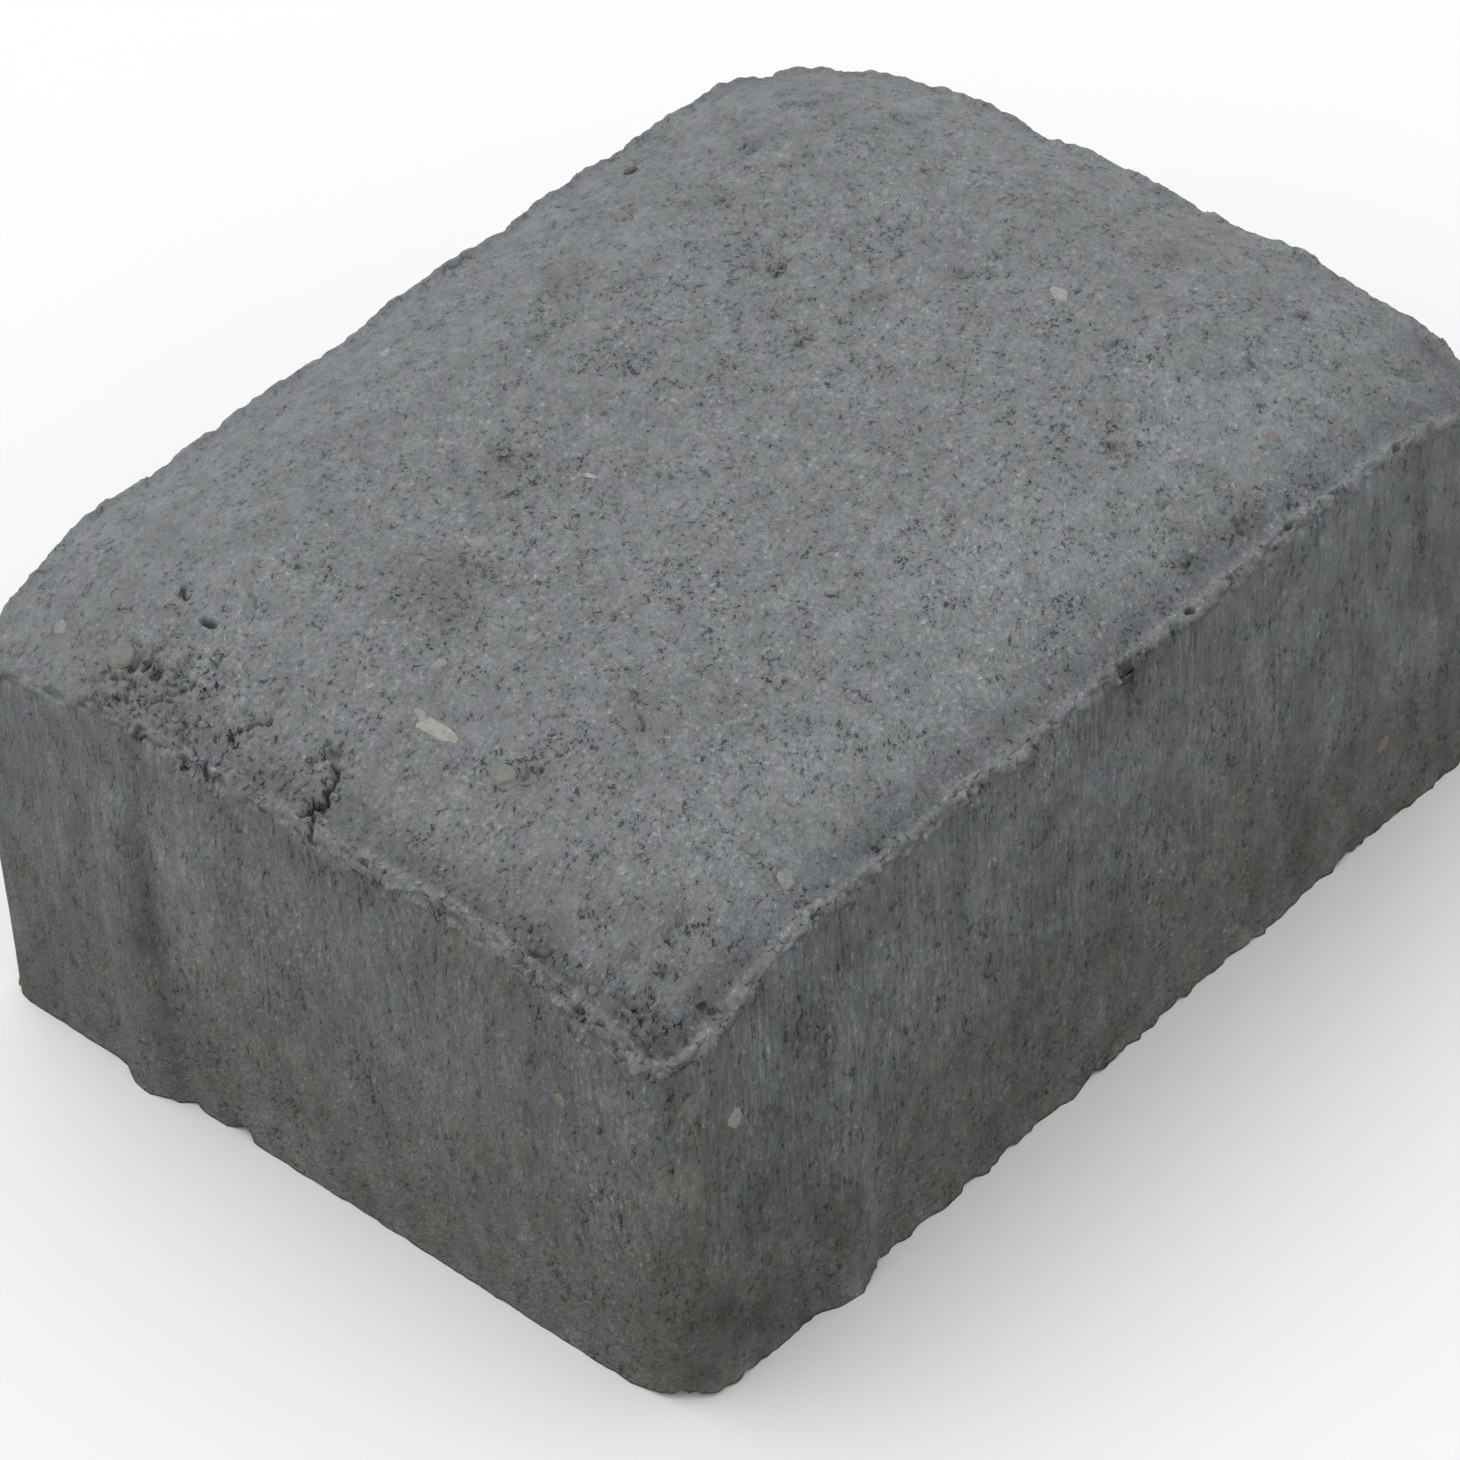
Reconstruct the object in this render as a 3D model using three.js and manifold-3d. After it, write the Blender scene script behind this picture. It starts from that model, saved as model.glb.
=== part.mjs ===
// Rustic concrete paving stone, pressed in one piece.
//
// The stone is a rectangular block with upright walls, a pillowed top that falls towards all four walls,
// a thin raised lip where the press squeezed concrete up along the mould, and one upright spacer rib on
// each wall that keeps the joint to the next stone open. Units are millimetres and +Z is up. The origin
// lies in the middle of the flat bedding face.

import * as THREE from 'three';
import { mergeVertices, toCreasedNormals } from 'three/addons/utils/BufferGeometryUtils.js';
import Module from 'manifold-3d';

const manifoldLibrary = await Module();
manifoldLibrary.setup();

const up = new THREE.Vector3(0, 0, 1);

// Block
const stoneLength = 157; // wall to wall along X
const stoneWidth = 117; // wall to wall along Y
const stoneThickness = 70; // bedding face to the crown of the top
const cornerRadius = 5; // upright corners, seen from above

// Pillowed top
const shoulderWidth = 32; // how far in from a wall the top starts to fall
const shoulderDrop = 9; // fall at a wall; at a corner the falls of both walls add up
const hollowDepth = 0.8; // depth of the shallow hollows in the top
const hollowLengthX = 63; // distance from hollow to hollow along X
const hollowLengthY = 49; // distance from hollow to hollow along Y

// Moulding lip
const lipWidth = 1.8; // from the wall to the foot of the lip
const lipHeight = 0.9; // above the shoulder it stands on
const lipCrestShare = 0.25; // where the crest lies, as a share of the width, from the wall
const lipUnevenness = 0.3; // how far the crest of the lip wanders up and down
const lipWaveLength = 17; // along the lip
const rimWaveHeight = 0.6; // how far the shoulder behind the lip wanders up and down
const rimWaveLengthX = 29; // along the two long walls
const rimWaveLengthY = 26; // along the two short walls

// Spacer ribs, one on each wall
const ribWidth = 11; // along the wall
const ribProud = 2; // out from the wall
const ribFromCorner = 28; // middle of the rib to the corner that starts its wall, going round anticlockwise
const ribBelowCrown = 20; // top end of the rib, measured down from the crown
const ribTaper = 6; // length of the slanted top end

// Fineness of the mesh
const longSideSteps = 46;
const shortSideSteps = 34;
const cornerSteps = 4;
const lipRingShares = [0, 0.23, 0.5, 0.75, 1]; // rings across the lip, from the wall to its foot
const topRings = 12; // from the foot of the lip to the middle line of the top
const topRingCrowding = 1.3; // over 1, the rings crowd towards the lip
const innerRounding = 0.4; // corner radius of an inner ring, as a share of its distance from the wall
const ribTurnSteps = 56;
const ribTaperSteps = 4;

const concrete = new THREE.MeshStandardMaterial({
  name: 'concrete',
  color: 0x7e8080,
  roughness: 0.95,
  metalness: 0,
});

// A wave that runs from -1 to 1, with a second, shorter wave in it so that it doesn't look regular.
function unevenWave(position, length) {
  const turns = position / length;
  return 0.65 * Math.sin(2 * Math.PI * turns + 0.8) + 0.35 * Math.sin(2 * Math.PI * turns * 2.3 + 2.1);
}

// 1 at the wall, 0 from the end of the shoulder inwards.
function shoulderShare(distance) {
  return (1 - THREE.MathUtils.clamp(distance / shoulderWidth, 0, 1)) ** 2;
}

// Distance from a point inside the outline to the nearest wall, with the corners rounded.
function distanceToWall(x, y) {
  const pastX = Math.abs(x) - (stoneLength / 2 - cornerRadius);
  const pastY = Math.abs(y) - (stoneWidth / 2 - cornerRadius);
  const outside = Math.hypot(Math.max(pastX, 0), Math.max(pastY, 0));
  return cornerRadius - outside - Math.min(Math.max(pastX, pastY), 0);
}

function topHeight(x, y) {
  const shareX = shoulderShare(stoneLength / 2 - Math.abs(x));
  const shareY = shoulderShare(stoneWidth / 2 - Math.abs(y));
  const hollows = 0.5 - 0.5 * unevenWave(x, hollowLengthX) * unevenWave(y, hollowLengthY);
  const rimWave = shareY * unevenWave(x, rimWaveLengthX) + shareX * unevenWave(y, rimWaveLengthY);
  const pillow = stoneThickness - shoulderDrop * (shareX + shareY);
  return pillow - hollowDepth * hollows + rimWaveHeight * rimWave;
}

// The lip rises from its foot to a rounded crest that stands a little in from the wall.
function lipRise(x, y) {
  const across = distanceToWall(x, y) / lipWidth;
  if (across >= 1) return 0;
  const crest = lipHeight + lipUnevenness * unevenWave(x + y, lipWaveLength);
  const fromCrest = (across - lipCrestShare) / (1 - lipCrestShare);
  return crest * Math.cos((Math.PI / 2) * fromCrest);
}

// One ring of points round the stone, anticlockwise from above, at a distance in from the walls.
function ringAt(inset, heightAt) {
  const halfX = stoneLength / 2 - inset;
  const halfY = stoneWidth / 2 - inset;
  const radius = Math.min(Math.max(cornerRadius - inset, innerRounding * inset), halfX, halfY);
  const cornerSigns = [[1, 1], [-1, 1], [-1, -1], [1, -1]];
  const arcs = cornerSigns.map(([signX, signY], corner) => {
    const centre = [signX * (halfX - radius), signY * (halfY - radius)];
    const start = (corner * Math.PI) / 2;
    const arc = new THREE.EllipseCurve(...centre, radius, radius, start, start + Math.PI / 2);
    return arc.getPoints(cornerSteps);
  });
  const outline = arcs.flatMap((arc, corner) => {
    const nextStart = arcs[(corner + 1) % arcs.length][0];
    const sideSteps = corner % 2 === 0 ? longSideSteps : shortSideSteps;
    const side = new THREE.LineCurve(arc.at(-1), nextStart).getPoints(sideSteps);
    return [...arc, ...side.slice(1, -1)];
  });
  return outline.map(({ x, y }) => new THREE.Vector3(x, y, heightAt(x, y)));
}

// Closed skin through a stack of rings, from the lowest outer ring up and inwards. The first ring is
// capped with a flat face, and the last one has shrunk to a line, so it closes by itself.
function loft(rings) {
  const ringLength = rings[0].length;
  const triangles = [];
  for (let level = 0; level < rings.length - 1; level++) {
    for (let i = 0; i < ringLength; i++) {
      const next = (i + 1) % ringLength;
      const lower = level * ringLength;
      const upper = lower + ringLength;
      triangles.push(lower + i, lower + next, upper + next);
      triangles.push(lower + i, upper + next, upper + i);
    }
  }
  for (const [a, b, c] of THREE.ShapeUtils.triangulateShape(rings[0], [])) {
    triangles.push(a, c, b);
  }
  const geometry = new THREE.BufferGeometry().setFromPoints(rings.flat());
  geometry.setIndex(triangles);
  return geometry;
}

function blockGeometry() {
  const surfaceHeight = (x, y) => topHeight(x, y) + lipRise(x, y);
  const middleInset = Math.min(stoneLength, stoneWidth) / 2;
  const lipInsets = lipRingShares.map((share) => share * lipWidth);
  const topInsets = Array.from({ length: topRings }, (_, i) => {
    const share = ((i + 1) / topRings) ** topRingCrowding;
    return lipWidth + share * (middleInset - lipWidth);
  });
  const beddingRing = ringAt(0, () => 0);
  const topSurface = [...lipInsets, ...topInsets].map((inset) => ringAt(inset, surfaceHeight));
  return loft([beddingRing, ...topSurface]);
}

// A rib is the part of an upright round post that stands out of the wall. The post's radius follows from
// the width and the depth of the rib, and its top end narrows until it meets the wall.
const postRadius = (ribWidth ** 2 / 4 + ribProud ** 2) / (2 * ribProud);

function ribPostGeometry() {
  const top = stoneThickness - ribBelowCrown;
  const profile = [new THREE.Vector2(0, 0), new THREE.Vector2(postRadius, 0)];
  for (let i = 0; i <= ribTaperSteps; i++) {
    const share = i / ribTaperSteps;
    const narrowing = ribProud * (1 - Math.cos((Math.PI / 2) * share));
    profile.push(new THREE.Vector2(postRadius - narrowing, top - ribTaper * (1 - share)));
  }
  profile.push(new THREE.Vector2(0, top));
  return new THREE.LatheGeometry(profile, ribTurnSteps).rotateX(Math.PI / 2);
}

// The walls are met going round anticlockwise, and each rib stands as far after the corner where its
// wall starts.
function ribPlacements() {
  return [0, 1, 2, 3].map((wall) => {
    const [acrossStone, alongWall] = wall % 2 === 0 ? [stoneLength, stoneWidth] : [stoneWidth, stoneLength];
    const axisInFromWall = postRadius - ribProud;
    const place = new THREE.Vector3(acrossStone / 2 - axisInFromWall, ribFromCorner - alongWall / 2, 0);
    return place.applyAxisAngle(up, (wall * Math.PI) / 2);
  });
}

function toSolid(geometry) {
  const bare = geometry.clone();
  bare.deleteAttribute('normal');
  bare.deleteAttribute('uv');
  const merged = mergeVertices(bare, 1e-4);
  return new manifoldLibrary.Manifold(new manifoldLibrary.Mesh({
    numProp: 3,
    vertProperties: new Float32Array(merged.attributes.position.array),
    triVerts: new Uint32Array(merged.index.array),
  }));
}

function toGeometry(solid) {
  const { vertProperties, triVerts } = solid.getMesh();
  const geometry = new THREE.BufferGeometry();
  geometry.setAttribute('position', new THREE.BufferAttribute(vertProperties, 3));
  geometry.setIndex(new THREE.BufferAttribute(triVerts, 1));
  return toCreasedNormals(geometry, Math.PI / 6);
}

function pavingStone() {
  const posts = ribPlacements().map((place) => toSolid(ribPostGeometry().translate(place.x, place.y, 0)));
  const solid = posts.reduce((stone, post) => stone.add(post), toSolid(blockGeometry()));
  const stone = new THREE.Mesh(toGeometry(solid), concrete);
  stone.name = 'paving_stone';
  return stone;
}

const part = new THREE.Group();
part.add(pavingStone());

export default part;
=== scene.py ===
# Concrete paving stone: skin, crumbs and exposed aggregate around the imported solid
import math

import bmesh
import bpy
import numpy as np
from mathutils import Matrix, Vector
from mathutils.bvhtree import BVHTree
from mathutils.geometry import delaunay_2d_cdt


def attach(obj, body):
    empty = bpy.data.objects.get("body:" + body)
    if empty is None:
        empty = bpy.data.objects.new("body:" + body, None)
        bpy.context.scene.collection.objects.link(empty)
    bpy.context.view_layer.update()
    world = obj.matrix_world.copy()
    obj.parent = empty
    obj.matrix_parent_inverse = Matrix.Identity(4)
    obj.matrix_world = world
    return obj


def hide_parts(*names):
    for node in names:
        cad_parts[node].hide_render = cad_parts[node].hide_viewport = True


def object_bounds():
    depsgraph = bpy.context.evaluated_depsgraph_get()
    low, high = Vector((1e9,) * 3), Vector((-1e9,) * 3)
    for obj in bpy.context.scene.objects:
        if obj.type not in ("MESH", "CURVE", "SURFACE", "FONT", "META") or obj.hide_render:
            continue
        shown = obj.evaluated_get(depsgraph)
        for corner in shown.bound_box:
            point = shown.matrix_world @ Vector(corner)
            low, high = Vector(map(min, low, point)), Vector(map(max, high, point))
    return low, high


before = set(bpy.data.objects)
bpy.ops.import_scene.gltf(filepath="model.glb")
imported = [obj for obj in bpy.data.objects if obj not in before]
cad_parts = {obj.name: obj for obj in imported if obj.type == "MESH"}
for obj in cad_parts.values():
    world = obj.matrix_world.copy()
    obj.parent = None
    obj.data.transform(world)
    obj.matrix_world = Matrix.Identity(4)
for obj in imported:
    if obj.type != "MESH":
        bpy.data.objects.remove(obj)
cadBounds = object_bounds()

mm = 0.001
scene = bpy.context.scene


# small helpers for the node trees of the shapes and of the materials

def plug(node, links):
    for socket, value in links.items():
        if isinstance(value, bpy.types.NodeSocket):
            node.id_data.links.new(value, node.inputs[socket])
        else:
            node.inputs[socket].default_value = value


def addNode(tree, kind, links=None, **settings):
    node = tree.nodes.new(kind)
    for name, value in settings.items():
        setattr(node, name, value)
    plug(node, links or {})
    return node


def treeOf(*values):  # the tree that the first socket among them belongs to
    return next(value.id_data for value in values if isinstance(value, bpy.types.NodeSocket))


def calc(operation, a, b=0.0, c=0.0, clamp=False):
    links = {0: a, 1: b, 2: c}
    return addNode(treeOf(a, b, c), "ShaderNodeMath", links, operation=operation, use_clamp=clamp).outputs[0]


def chained(operation, parts):
    result = parts[0]
    for part in parts[1:]:
        result = calc(operation, result, part)
    return result


def total(*parts):
    return chained("ADD", parts)


def times(*parts):
    return chained("MULTIPLY", parts)


def largest(*parts):
    return chained("MAXIMUM", parts)


def minus(a, b):
    return calc("SUBTRACT", a, b)


def onePlus(share, amount):
    return calc("MULTIPLY_ADD", share, amount, 1.0)


def weighted(size, shares):  # each share times the tree's input of that name
    return [times(share, size[name]) for name, share in shares.items()]


def ramp(value, low, high, lowOut=0.0, highOut=1.0):  # smooth step between two values
    links = {"Value": value, "From Min": low, "From Max": high, "To Min": lowOut, "To Max": highOut}
    return addNode(treeOf(value), "ShaderNodeMapRange", links, interpolation_type="SMOOTHSTEP").outputs[0]


def joined(a, b, operation="ADD", output=0):  # two vectors
    return addNode(treeOf(a, b), "ShaderNodeVectorMath", {0: a, 1: b}, operation=operation).outputs[output]


def scaled(arrow, amount):
    links = {0: arrow, "Scale": amount}
    return addNode(treeOf(arrow, amount), "ShaderNodeVectorMath", links, operation="SCALE").outputs[0]


def flattened(coords, share):  # draws a pattern out upright
    return joined(coords, (1.0, 1.0, share), "MULTIPLY")


def vector(x=0.0, y=0.0, z=0.0):
    return addNode(treeOf(x, y, z), "ShaderNodeCombineXYZ", {0: x, 1: y, 2: z}).outputs[0]


def axes(arrow):
    return addNode(treeOf(arrow), "ShaderNodeSeparateXYZ", {0: arrow}).outputs


def shifted(coords, seed):  # the same pattern taken from another place
    return joined(coords, (seed * 37.3, seed * 91.7, seed * 58.9))


def noise(coords, size, detail=2.0, rough=0.5, seed=0, bend=0.0):  # -1 to 1, size in mm
    links = {"Vector": shifted(coords, seed), "Scale": 1.0 / size, "Detail": detail, "Roughness": rough,
             "Distortion": bend}
    return calc("MULTIPLY_ADD", addNode(treeOf(coords), "ShaderNodeTexNoise", links).outputs[0], 2.0, -1.0)


def cells(coords, size, seed=0, feature="F1"):  # distance in mm, and three random numbers for each cell
    links = {"Vector": shifted(coords, seed), "Scale": 1.0 / size}
    node = addNode(treeOf(coords), "ShaderNodeTexVoronoi", links, feature=feature)
    distance = times(node.outputs["Distance"], size)
    return distance if feature == "DISTANCE_TO_EDGE" else (distance, axes(node.outputs["Color"]))


def readStored(tree, name, kind, output):
    if tree.bl_idname == "GeometryNodeTree":
        return addNode(tree, "GeometryNodeInputNamedAttribute", {"Name": name}, data_type=kind).outputs[0]
    return addNode(tree, "ShaderNodeAttribute", attribute_name=name).outputs[output]


def readNumber(tree, name):
    return readStored(tree, name, "FLOAT", "Fac")


def readVector(tree, name):
    return readStored(tree, name, "FLOAT_VECTOR", "Vector")


def readColour(tree, name):
    return readStored(tree, name, "FLOAT_COLOR", "Color")


def store(geometry, name, value, kind="FLOAT", domain="POINT"):
    links = {"Geometry": geometry, "Name": name, "Value": value}
    return addNode(treeOf(geometry), "GeometryNodeStoreNamedAttribute", links,
                   data_type=kind, domain=domain).outputs[0]


def blend(amount, a, b):  # two colours
    links = {"Factor": amount, "A": a, "B": b}
    return addNode(treeOf(amount), "ShaderNodeMix", links, data_type="RGBA").outputs["Result"]


def newShapeTree(name, sizes):
    tree = bpy.data.node_groups.new(name, "GeometryNodeTree")
    tree.interface.new_socket("Geometry", in_out="INPUT", socket_type="NodeSocketGeometry")
    tree.interface.new_socket("Geometry", in_out="OUTPUT", socket_type="NodeSocketGeometry")
    for label, value in sizes.items():
        kind = "NodeSocketInt" if isinstance(value, int) else "NodeSocketFloat"
        tree.interface.new_socket(label, in_out="INPUT", socket_type=kind)
    return tree, tree.nodes.new("NodeGroupInput").outputs, tree.nodes.new("NodeGroupOutput")


def finishShape(tree, out, geometry, material):
    real = addNode(tree, "GeometryNodeRealizeInstances", {"Geometry": geometry}).outputs[0]
    now = axes(tree.nodes.new("GeometryNodeInputPosition").outputs[0])
    aboveFloor = vector(now[0], now[1], largest(now[2], 0.0))
    real = addNode(tree, "GeometryNodeSetPosition", {"Geometry": real, "Position": aboveFloor}).outputs[0]
    done = addNode(tree, "GeometryNodeSetMaterial", {"Geometry": real, "Material": material}).outputs[0]
    plug(out, {0: done})
    return tree


def runTree(piece, tree, sizes):
    modifier = piece.modifiers.new(tree.name, "NODES")
    modifier.node_group = tree
    for item in tree.interface.items_tree:
        if item.item_type == "SOCKET" and item.in_out == "INPUT" and item.name in sizes:
            modifier[item.identifier] = sizes[item.name]
    graph = bpy.context.evaluated_depsgraph_get()
    mesh = bpy.data.meshes.new_from_object(piece.evaluated_get(graph), preserve_all_data_layers=True,
                                           depsgraph=graph)
    piece.modifiers.remove(modifier)
    old, piece.data = piece.data, mesh
    bpy.data.meshes.remove(old)
    piece.data.name = piece.name


def newPiece(name, mesh):
    piece = bpy.data.objects.new(name, mesh)
    scene.collection.objects.link(piece)
    return piece


def triangleCount(piece):
    return sum(len(face.vertices) - 2 for face in piece.data.polygons)


def newMaterial(name):
    material = bpy.data.materials.new(name)
    material.use_nodes = True
    tree = material.node_tree
    tree.nodes.clear()
    shader = tree.nodes.new("ShaderNodeBsdfPrincipled")
    addNode(tree, "ShaderNodeOutputMaterial", {"Surface": shader.outputs[0]})
    return material, tree, shader


def finishMaterial(tree, shader, colour, roughness, specular, height):  # height in mm
    bump = addNode(tree, "ShaderNodeBump", {"Strength": 1.0, "Distance": mm, "Height": height})
    plug(shader, {"Base Color": colour, "Roughness": roughness, "Specular IOR Level": specular,
                  "Normal": bump.outputs[0]})


def placeOnPiece(tree):  # mm
    place = tree.nodes.new("ShaderNodeTexCoord").outputs["Object"]
    return addNode(tree, "ShaderNodeMapping", {"Vector": place, "Scale": (1 / mm,) * 3}).outputs[0]


def seenDirectly(tree):
    path = tree.nodes.new("ShaderNodeLightPath").outputs
    return largest(path["Is Camera Ray"], path["Is Glossy Ray"], path["Is Transmission Ray"])


viewpoint = {
    "place": (-0.43291, -0.41722, 0.55107),  # metres from the middle of the underside
    "turn": 45.76, "lookDown": 41.38, "lean": 3.72,  # degrees
    "lens": 156.78, "sensor": 36.0,
}


def setCamera(v):
    data = bpy.data.cameras.new("camera")
    data.lens, data.sensor_width = v["lens"], v["sensor"]
    camera = newPiece("camera", data)
    turn = (Matrix.Rotation(-math.radians(v["turn"]), 4, "Z")
            @ Matrix.Rotation(math.radians(90.0 - v["lookDown"]), 4, "X")
            @ Matrix.Rotation(-math.radians(v["lean"]), 4, "Z"))
    camera.matrix_world = Matrix.Translation(v["place"]) @ turn
    scene.camera = camera


studio = {
    "floorSize": 6.0, "floorColour": (0.97, 0.97, 0.97), "floorBounce": (0.18, 0.18, 0.18),
    "skyStrength": 0.82, "skyLean": (-0.14, 0.12, 0.0),  # how much brighter the sky is on one side
    "keyStrength": 0.72, "keyWidth": 50.0,  # degrees across
    "keyFrom": (-0.08, 0.32, 0.94),
}


def setStudio(s):
    scene.view_settings.view_transform = "Standard"
    world = bpy.data.worlds.new("sky")
    scene.world = world
    world.use_nodes = True
    tree = world.node_tree
    tree.nodes.clear()
    seen = seenDirectly(tree)
    toward = tree.nodes.new("ShaderNodeTexCoord").outputs["Generated"]
    lean = joined(toward, s["skyLean"], "DOT_PRODUCT", "Value")
    light = calc("MULTIPLY_ADD", lean, s["skyStrength"], s["skyStrength"])
    strength = total(times(light, minus(1.0, seen)), seen)
    sky = addNode(tree, "ShaderNodeBackground", {"Color": (1.0, 1.0, 1.0, 1.0), "Strength": strength})
    addNode(tree, "ShaderNodeOutputWorld", {"Surface": sky.outputs[0]})

    sun = bpy.data.lights.new("key", "SUN")
    sun.energy, sun.angle = s["keyStrength"], math.radians(s["keyWidth"])
    key = newPiece("key", sun)
    key.rotation_mode = "QUATERNION"
    key.rotation_quaternion = Vector(s["keyFrom"]).to_track_quat("Z", "Y")

    half = s["floorSize"] / 2
    mesh = bpy.data.meshes.new("floor")
    mesh.from_pydata([(-half, -half, 0), (half, -half, 0), (half, half, 0), (-half, half, 0)], [],
                     [(0, 1, 2, 3)])
    floor = newPiece("floor", mesh)
    material, tree, shader = newMaterial("pale_floor")
    colour = blend(seenDirectly(tree), (*s["floorBounce"], 1), (*s["floorColour"], 1))
    plug(shader, {"Base Color": colour, "Roughness": 1.0, "Specular IOR Level": 0.0})
    mesh.materials.append(material)


setCamera(viewpoint)
setStudio(studio)
print("camera and studio set")


# the skin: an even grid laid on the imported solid
skin = {  # mm
    "cornerRadius": 5.0, "topPitch": 0.95, "wallPitch": 1.6, "underPitch": 3.5,
    "rimSteps": (0.25, 0.28, 0.35, 0.5, 0.6, 0.75),  # grid lines from the rim inwards
    "wallSteps": (0.38, 0.4, 0.5, 0.8),  # rows from the rim down, and from the foot up
    "rimDrops": (0.22, 0.08),  # takes the sharpness off the rim
    "pressFrom": 10.0,  # how far outside the walls the skin starts before it is pressed on
    "footHeight": 8.0,
    "footRings": ((2, 0.9), (4, 2.6)),  # taken from every 2nd and every 4th foot point, and how far in
    "underJitter": 0.3,  # share of the pitch
    "drawnHigh": 2.4, "drawnLow": 1.0, "drawnReach": 13.0,  # the marks on the walls are drawn out upright
    "drawnAcross": 0.17,  # and those on top a little along one diagonal
}
farAway = 99.0  # mm, out of reach of the foot and of every crack


def mergedSolid(name):
    source = bpy.data.objects[name]
    work = bmesh.new()
    work.from_mesh(source.data)
    bmesh.ops.remove_doubles(work, verts=work.verts, dist=0.001 * mm)
    work.transform(source.matrix_world)
    hits = BVHTree.FromBMesh(work)
    work.free()
    return hits


solid = mergedSolid("paving_stone")
outside = 2 * cadBounds[1].x
probeHeight = 0.5 * cadBounds[1].z  # the middle of each side has no spacer rib
halfLength = solid.ray_cast((outside, 0, probeHeight), (-1, 0, 0))[0].x / mm
halfWidth = solid.ray_cast((0, outside, probeHeight), (0, -1, 0))[0].y / mm
print("body without its spacer ribs: %.1f x %.1f mm" % (2 * halfLength, 2 * halfWidth))


def gridLines(half, pitch, rimSteps):
    inner = half - sum(rimSteps)
    edge = half - np.concatenate([[0.0], np.cumsum(rimSteps)[:-1]])
    middle = np.linspace(-inner, inner, round(2 * inner / pitch) + 1)
    return np.concatenate([-edge, middle, edge[::-1]])


def roundCorners(x, y, radius):
    # a ring of the grid keeps its distance from the wall and turns the corner on an arc
    a, b = halfLength - np.abs(x), halfWidth - np.abs(y)
    inset = np.minimum(a, b)
    inCorner = (a < radius) & (b < radius)
    arm = np.maximum(radius - inset, 1e-9)
    share = np.where(a < b, 0.5 * (radius - b) / arm, 1.0 - 0.5 * (radius - a) / arm)
    angle = np.clip(share, 0.0, 1.0) * np.pi / 2
    a = np.where(inCorner, radius - arm * np.cos(angle), a)
    b = np.where(inCorner, radius - arm * np.sin(angle), b)
    return np.sign(x) * (halfLength - a), np.sign(y) * (halfWidth - b), inset


def topHeight(x, y):  # a ray on the very wall can miss, so it moves in by a hair, then by more
    for hair in (0.02, 0.15, 0.3):
        inside = mm * (1 - hair / halfLength)
        hit = solid.ray_cast((x * inside, y * inside, 2 * cadBounds[1].z), (0, 0, -1))[0]
        if hit:
            return hit.z / mm


class Net:  # the points of the skin, with what is stored on them, and its faces
    onTop, onWall, below = 0.0, 1.0, 2.0

    def __init__(self):
        self.points, self.edge, self.side, self.outward, self.faces = [], [], [], [], []

    def add(self, place, edge, side, outward=(0.0, 0.0)):
        self.points.append(place)
        self.edge.append(edge)
        self.side.append(side)
        self.outward.append((*outward, 0.0))
        return len(self.points) - 1

    def coordsOf(self, ring):
        return np.array([self.points[i] for i in ring])


def layTop(net, s):
    xs, ys = (gridLines(half, s["topPitch"], s["rimSteps"]) for half in (halfLength, halfWidth))
    gx, gy, inset = roundCorners(*np.meshgrid(xs, ys, indexing="ij"), s["cornerRadius"])
    dropWhere = (0.0, s["rimSteps"][0], s["rimSteps"][0] + s["rimSteps"][1])
    for x, y, d in zip(gx.ravel(), gy.ravel(), inset.ravel()):
        drop = np.interp(d, dropWhere, (*s["rimDrops"], 0.0))
        net.add((x, y, topHeight(x, y) - drop), d, net.onTop)
    grid = np.arange(gx.size).reshape(gx.shape)
    net.faces += [(grid[i, j], grid[i + 1, j], grid[i + 1, j + 1], grid[i, j + 1])
                  for i in range(len(xs) - 1) for j in range(len(ys) - 1)]
    return [*grid[:-1, 0], *grid[-1, :-1], *grid[:0:-1, -1], *grid[0, :0:-1]]


def layWalls(net, rim, s):  # each rim point sends a column down, pressed on the solid from outside
    n = len(rim)
    outline, top = net.coordsOf(rim)[:, :2], net.coordsOf(rim)[:, 2]
    along = np.roll(outline, -1, 0) - np.roll(outline, 1, 0)
    outward = np.stack([along[:, 1], -along[:, 0]], 1)
    outward /= np.linalg.norm(outward, axis=1)[:, None]
    for i, facing in zip(rim, outward):
        net.outward[i] = (*facing, 0.0)
    steps = np.array(s["wallSteps"])
    plain = np.mean(top) - 2 * steps.sum()
    middle = steps.sum() + np.linspace(0, plain, round(plain / s["wallPitch"]) + 1)[1:]
    rows = np.concatenate([np.cumsum(steps), middle, steps.sum() + plain + np.cumsum(steps[::-1])])
    above = rim
    for row in rows / rows[-1]:
        here = []
        for (x, y), z, facing in zip(outline, top * (1 - row), outward):
            away = facing * s["pressFrom"]
            start = Vector((x + away[0], y + away[1], max(z, 0.05))) * mm
            hit = solid.ray_cast(start, (-facing[0], -facing[1], 0))[0]
            place = (hit.x / mm, hit.y / mm, z) if hit else (x, y, z)
            here.append(net.add(place, z - top[len(here)], net.onWall, facing))
        net.faces += [(above[k], here[k], here[(k + 1) % n], above[(k + 1) % n]) for k in range(n)]
        above = here
    return above, outward, np.mean(top)


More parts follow.
